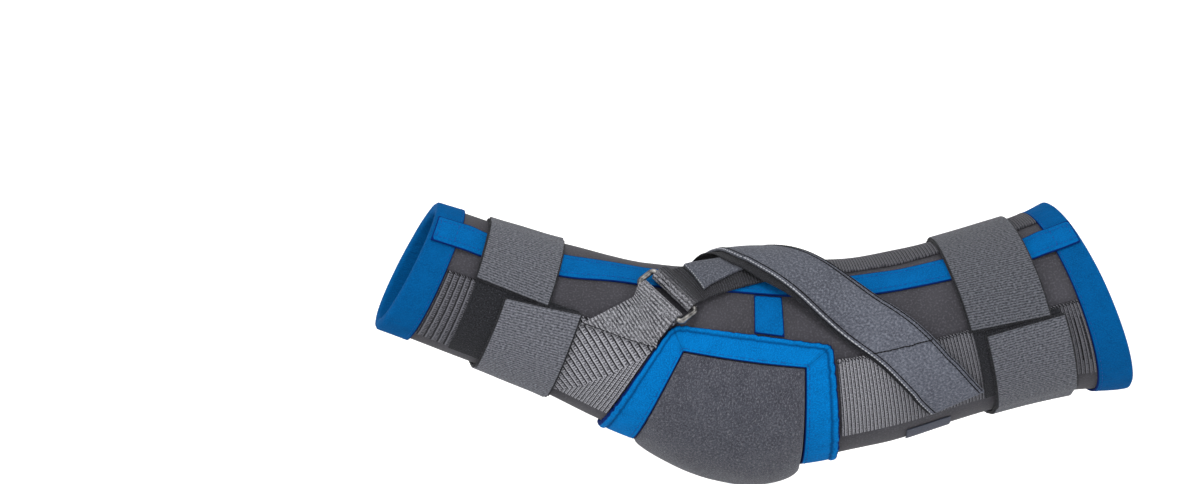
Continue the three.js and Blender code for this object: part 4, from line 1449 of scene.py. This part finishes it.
def backdrop_point(u, v):
    """u runs from the middle of the floor out and up the wall, v round it."""
    distance = u * BACKDROP_LENGTH
    turn = min(max(0, distance - FLOOR_RADIUS) / COVE_RADIUS, math.pi / 2)
    rise = max(0, distance - FLOOR_RADIUS - COVE_RADIUS * math.pi / 2)
    reach = min(distance, FLOOR_RADIUS) + COVE_RADIUS * math.sin(turn)
    height = FLOOR_LEVEL + COVE_RADIUS * (1 - math.cos(turn)) + rise
    return Vector((reach * math.cos(2 * math.pi * v), reach * math.sin(2 * math.pi * v), height)), reach


bm = bmesh.new()
bmesh.ops.create_grid(bm, x_segments=92, y_segments=96, size=0.5)
glow = bm.verts.layers.float.new("glow")
for vert in bm.verts:
    place, reach = backdrop_point(vert.co.x + 0.5, vert.co.y + 0.5)
    vert[glow] = mix(0.15, 0.8, smooth(reach, 500, 1100))
    vert.co = place * METRES
bmesh.ops.remove_doubles(bm, verts=bm.verts[:], dist=1e-6)
mesh = bpy.data.meshes.new("backdrop")
bm.to_mesh(mesh)
bm.free()
backdrop = bpy.data.objects.new("backdrop", mesh)
bpy.context.scene.collection.objects.link(backdrop)
paper = bpy.data.materials.new("white paper")
paper.use_nodes = True
tree = paper.node_tree
shader = tree.nodes["Principled BSDF"]
shader.inputs["Base Color"].default_value = (0.7, 0.7, 0.7, 1)
shader.inputs["Roughness"].default_value = 0.9
shader.inputs["Emission Color"].default_value = (1, 1, 1, 1)
lit_paper = add_node(tree, "Attribute", output="Fac", attribute_name="glow")
tree.links.new(lit_paper, shader.inputs["Emission Strength"])
mesh.materials.append(paper)
for face in mesh.polygons:
    face.use_smooth = True

world = bpy.data.worlds.new("soft studio")
world.use_nodes = True
world.node_tree.nodes["Background"].inputs["Color"].default_value = (1, 1, 1, 1)
world.node_tree.nodes["Background"].inputs["Strength"].default_value = 0.26
bpy.context.scene.world = world
bpy.context.scene.view_settings.view_transform = "Standard"

AIM = Vector((-76.6, 0, 58.5)) * METRES


def area_light(name, place, size, power):
    light = bpy.data.lights.new(name, "AREA")
    light.shape = "DISK"
    light.size = size
    light.energy = power
    lamp = bpy.data.objects.new(name, light)
    lamp.location = place
    lamp.rotation_euler = (AIM - Vector(place)).to_track_quat("-Z", "Y").to_euler()
    bpy.context.scene.collection.objects.link(lamp)


area_light("key", (-0.2, -1.4, 1.5), 0.9, 12.5)
area_light("top", (0.3, 0.2, 1.8), 1.4, 8)

# Camera: level, square to the outer side of the brace, as in the photograph.
CAMERA_DISTANCE = 1.3
FRAME_WIDTH = 0.5854
camera_data = bpy.data.cameras.new("camera")
camera_data.sensor_width = 36
camera_data.lens = 36 * CAMERA_DISTANCE / FRAME_WIDTH
camera = bpy.data.objects.new("camera", camera_data)
camera.location = AIM + Vector((0, -CAMERA_DISTANCE, 0))
camera.rotation_euler = (math.radians(90), 0, 0)
bpy.context.scene.collection.objects.link(camera)
bpy.context.scene.camera = camera
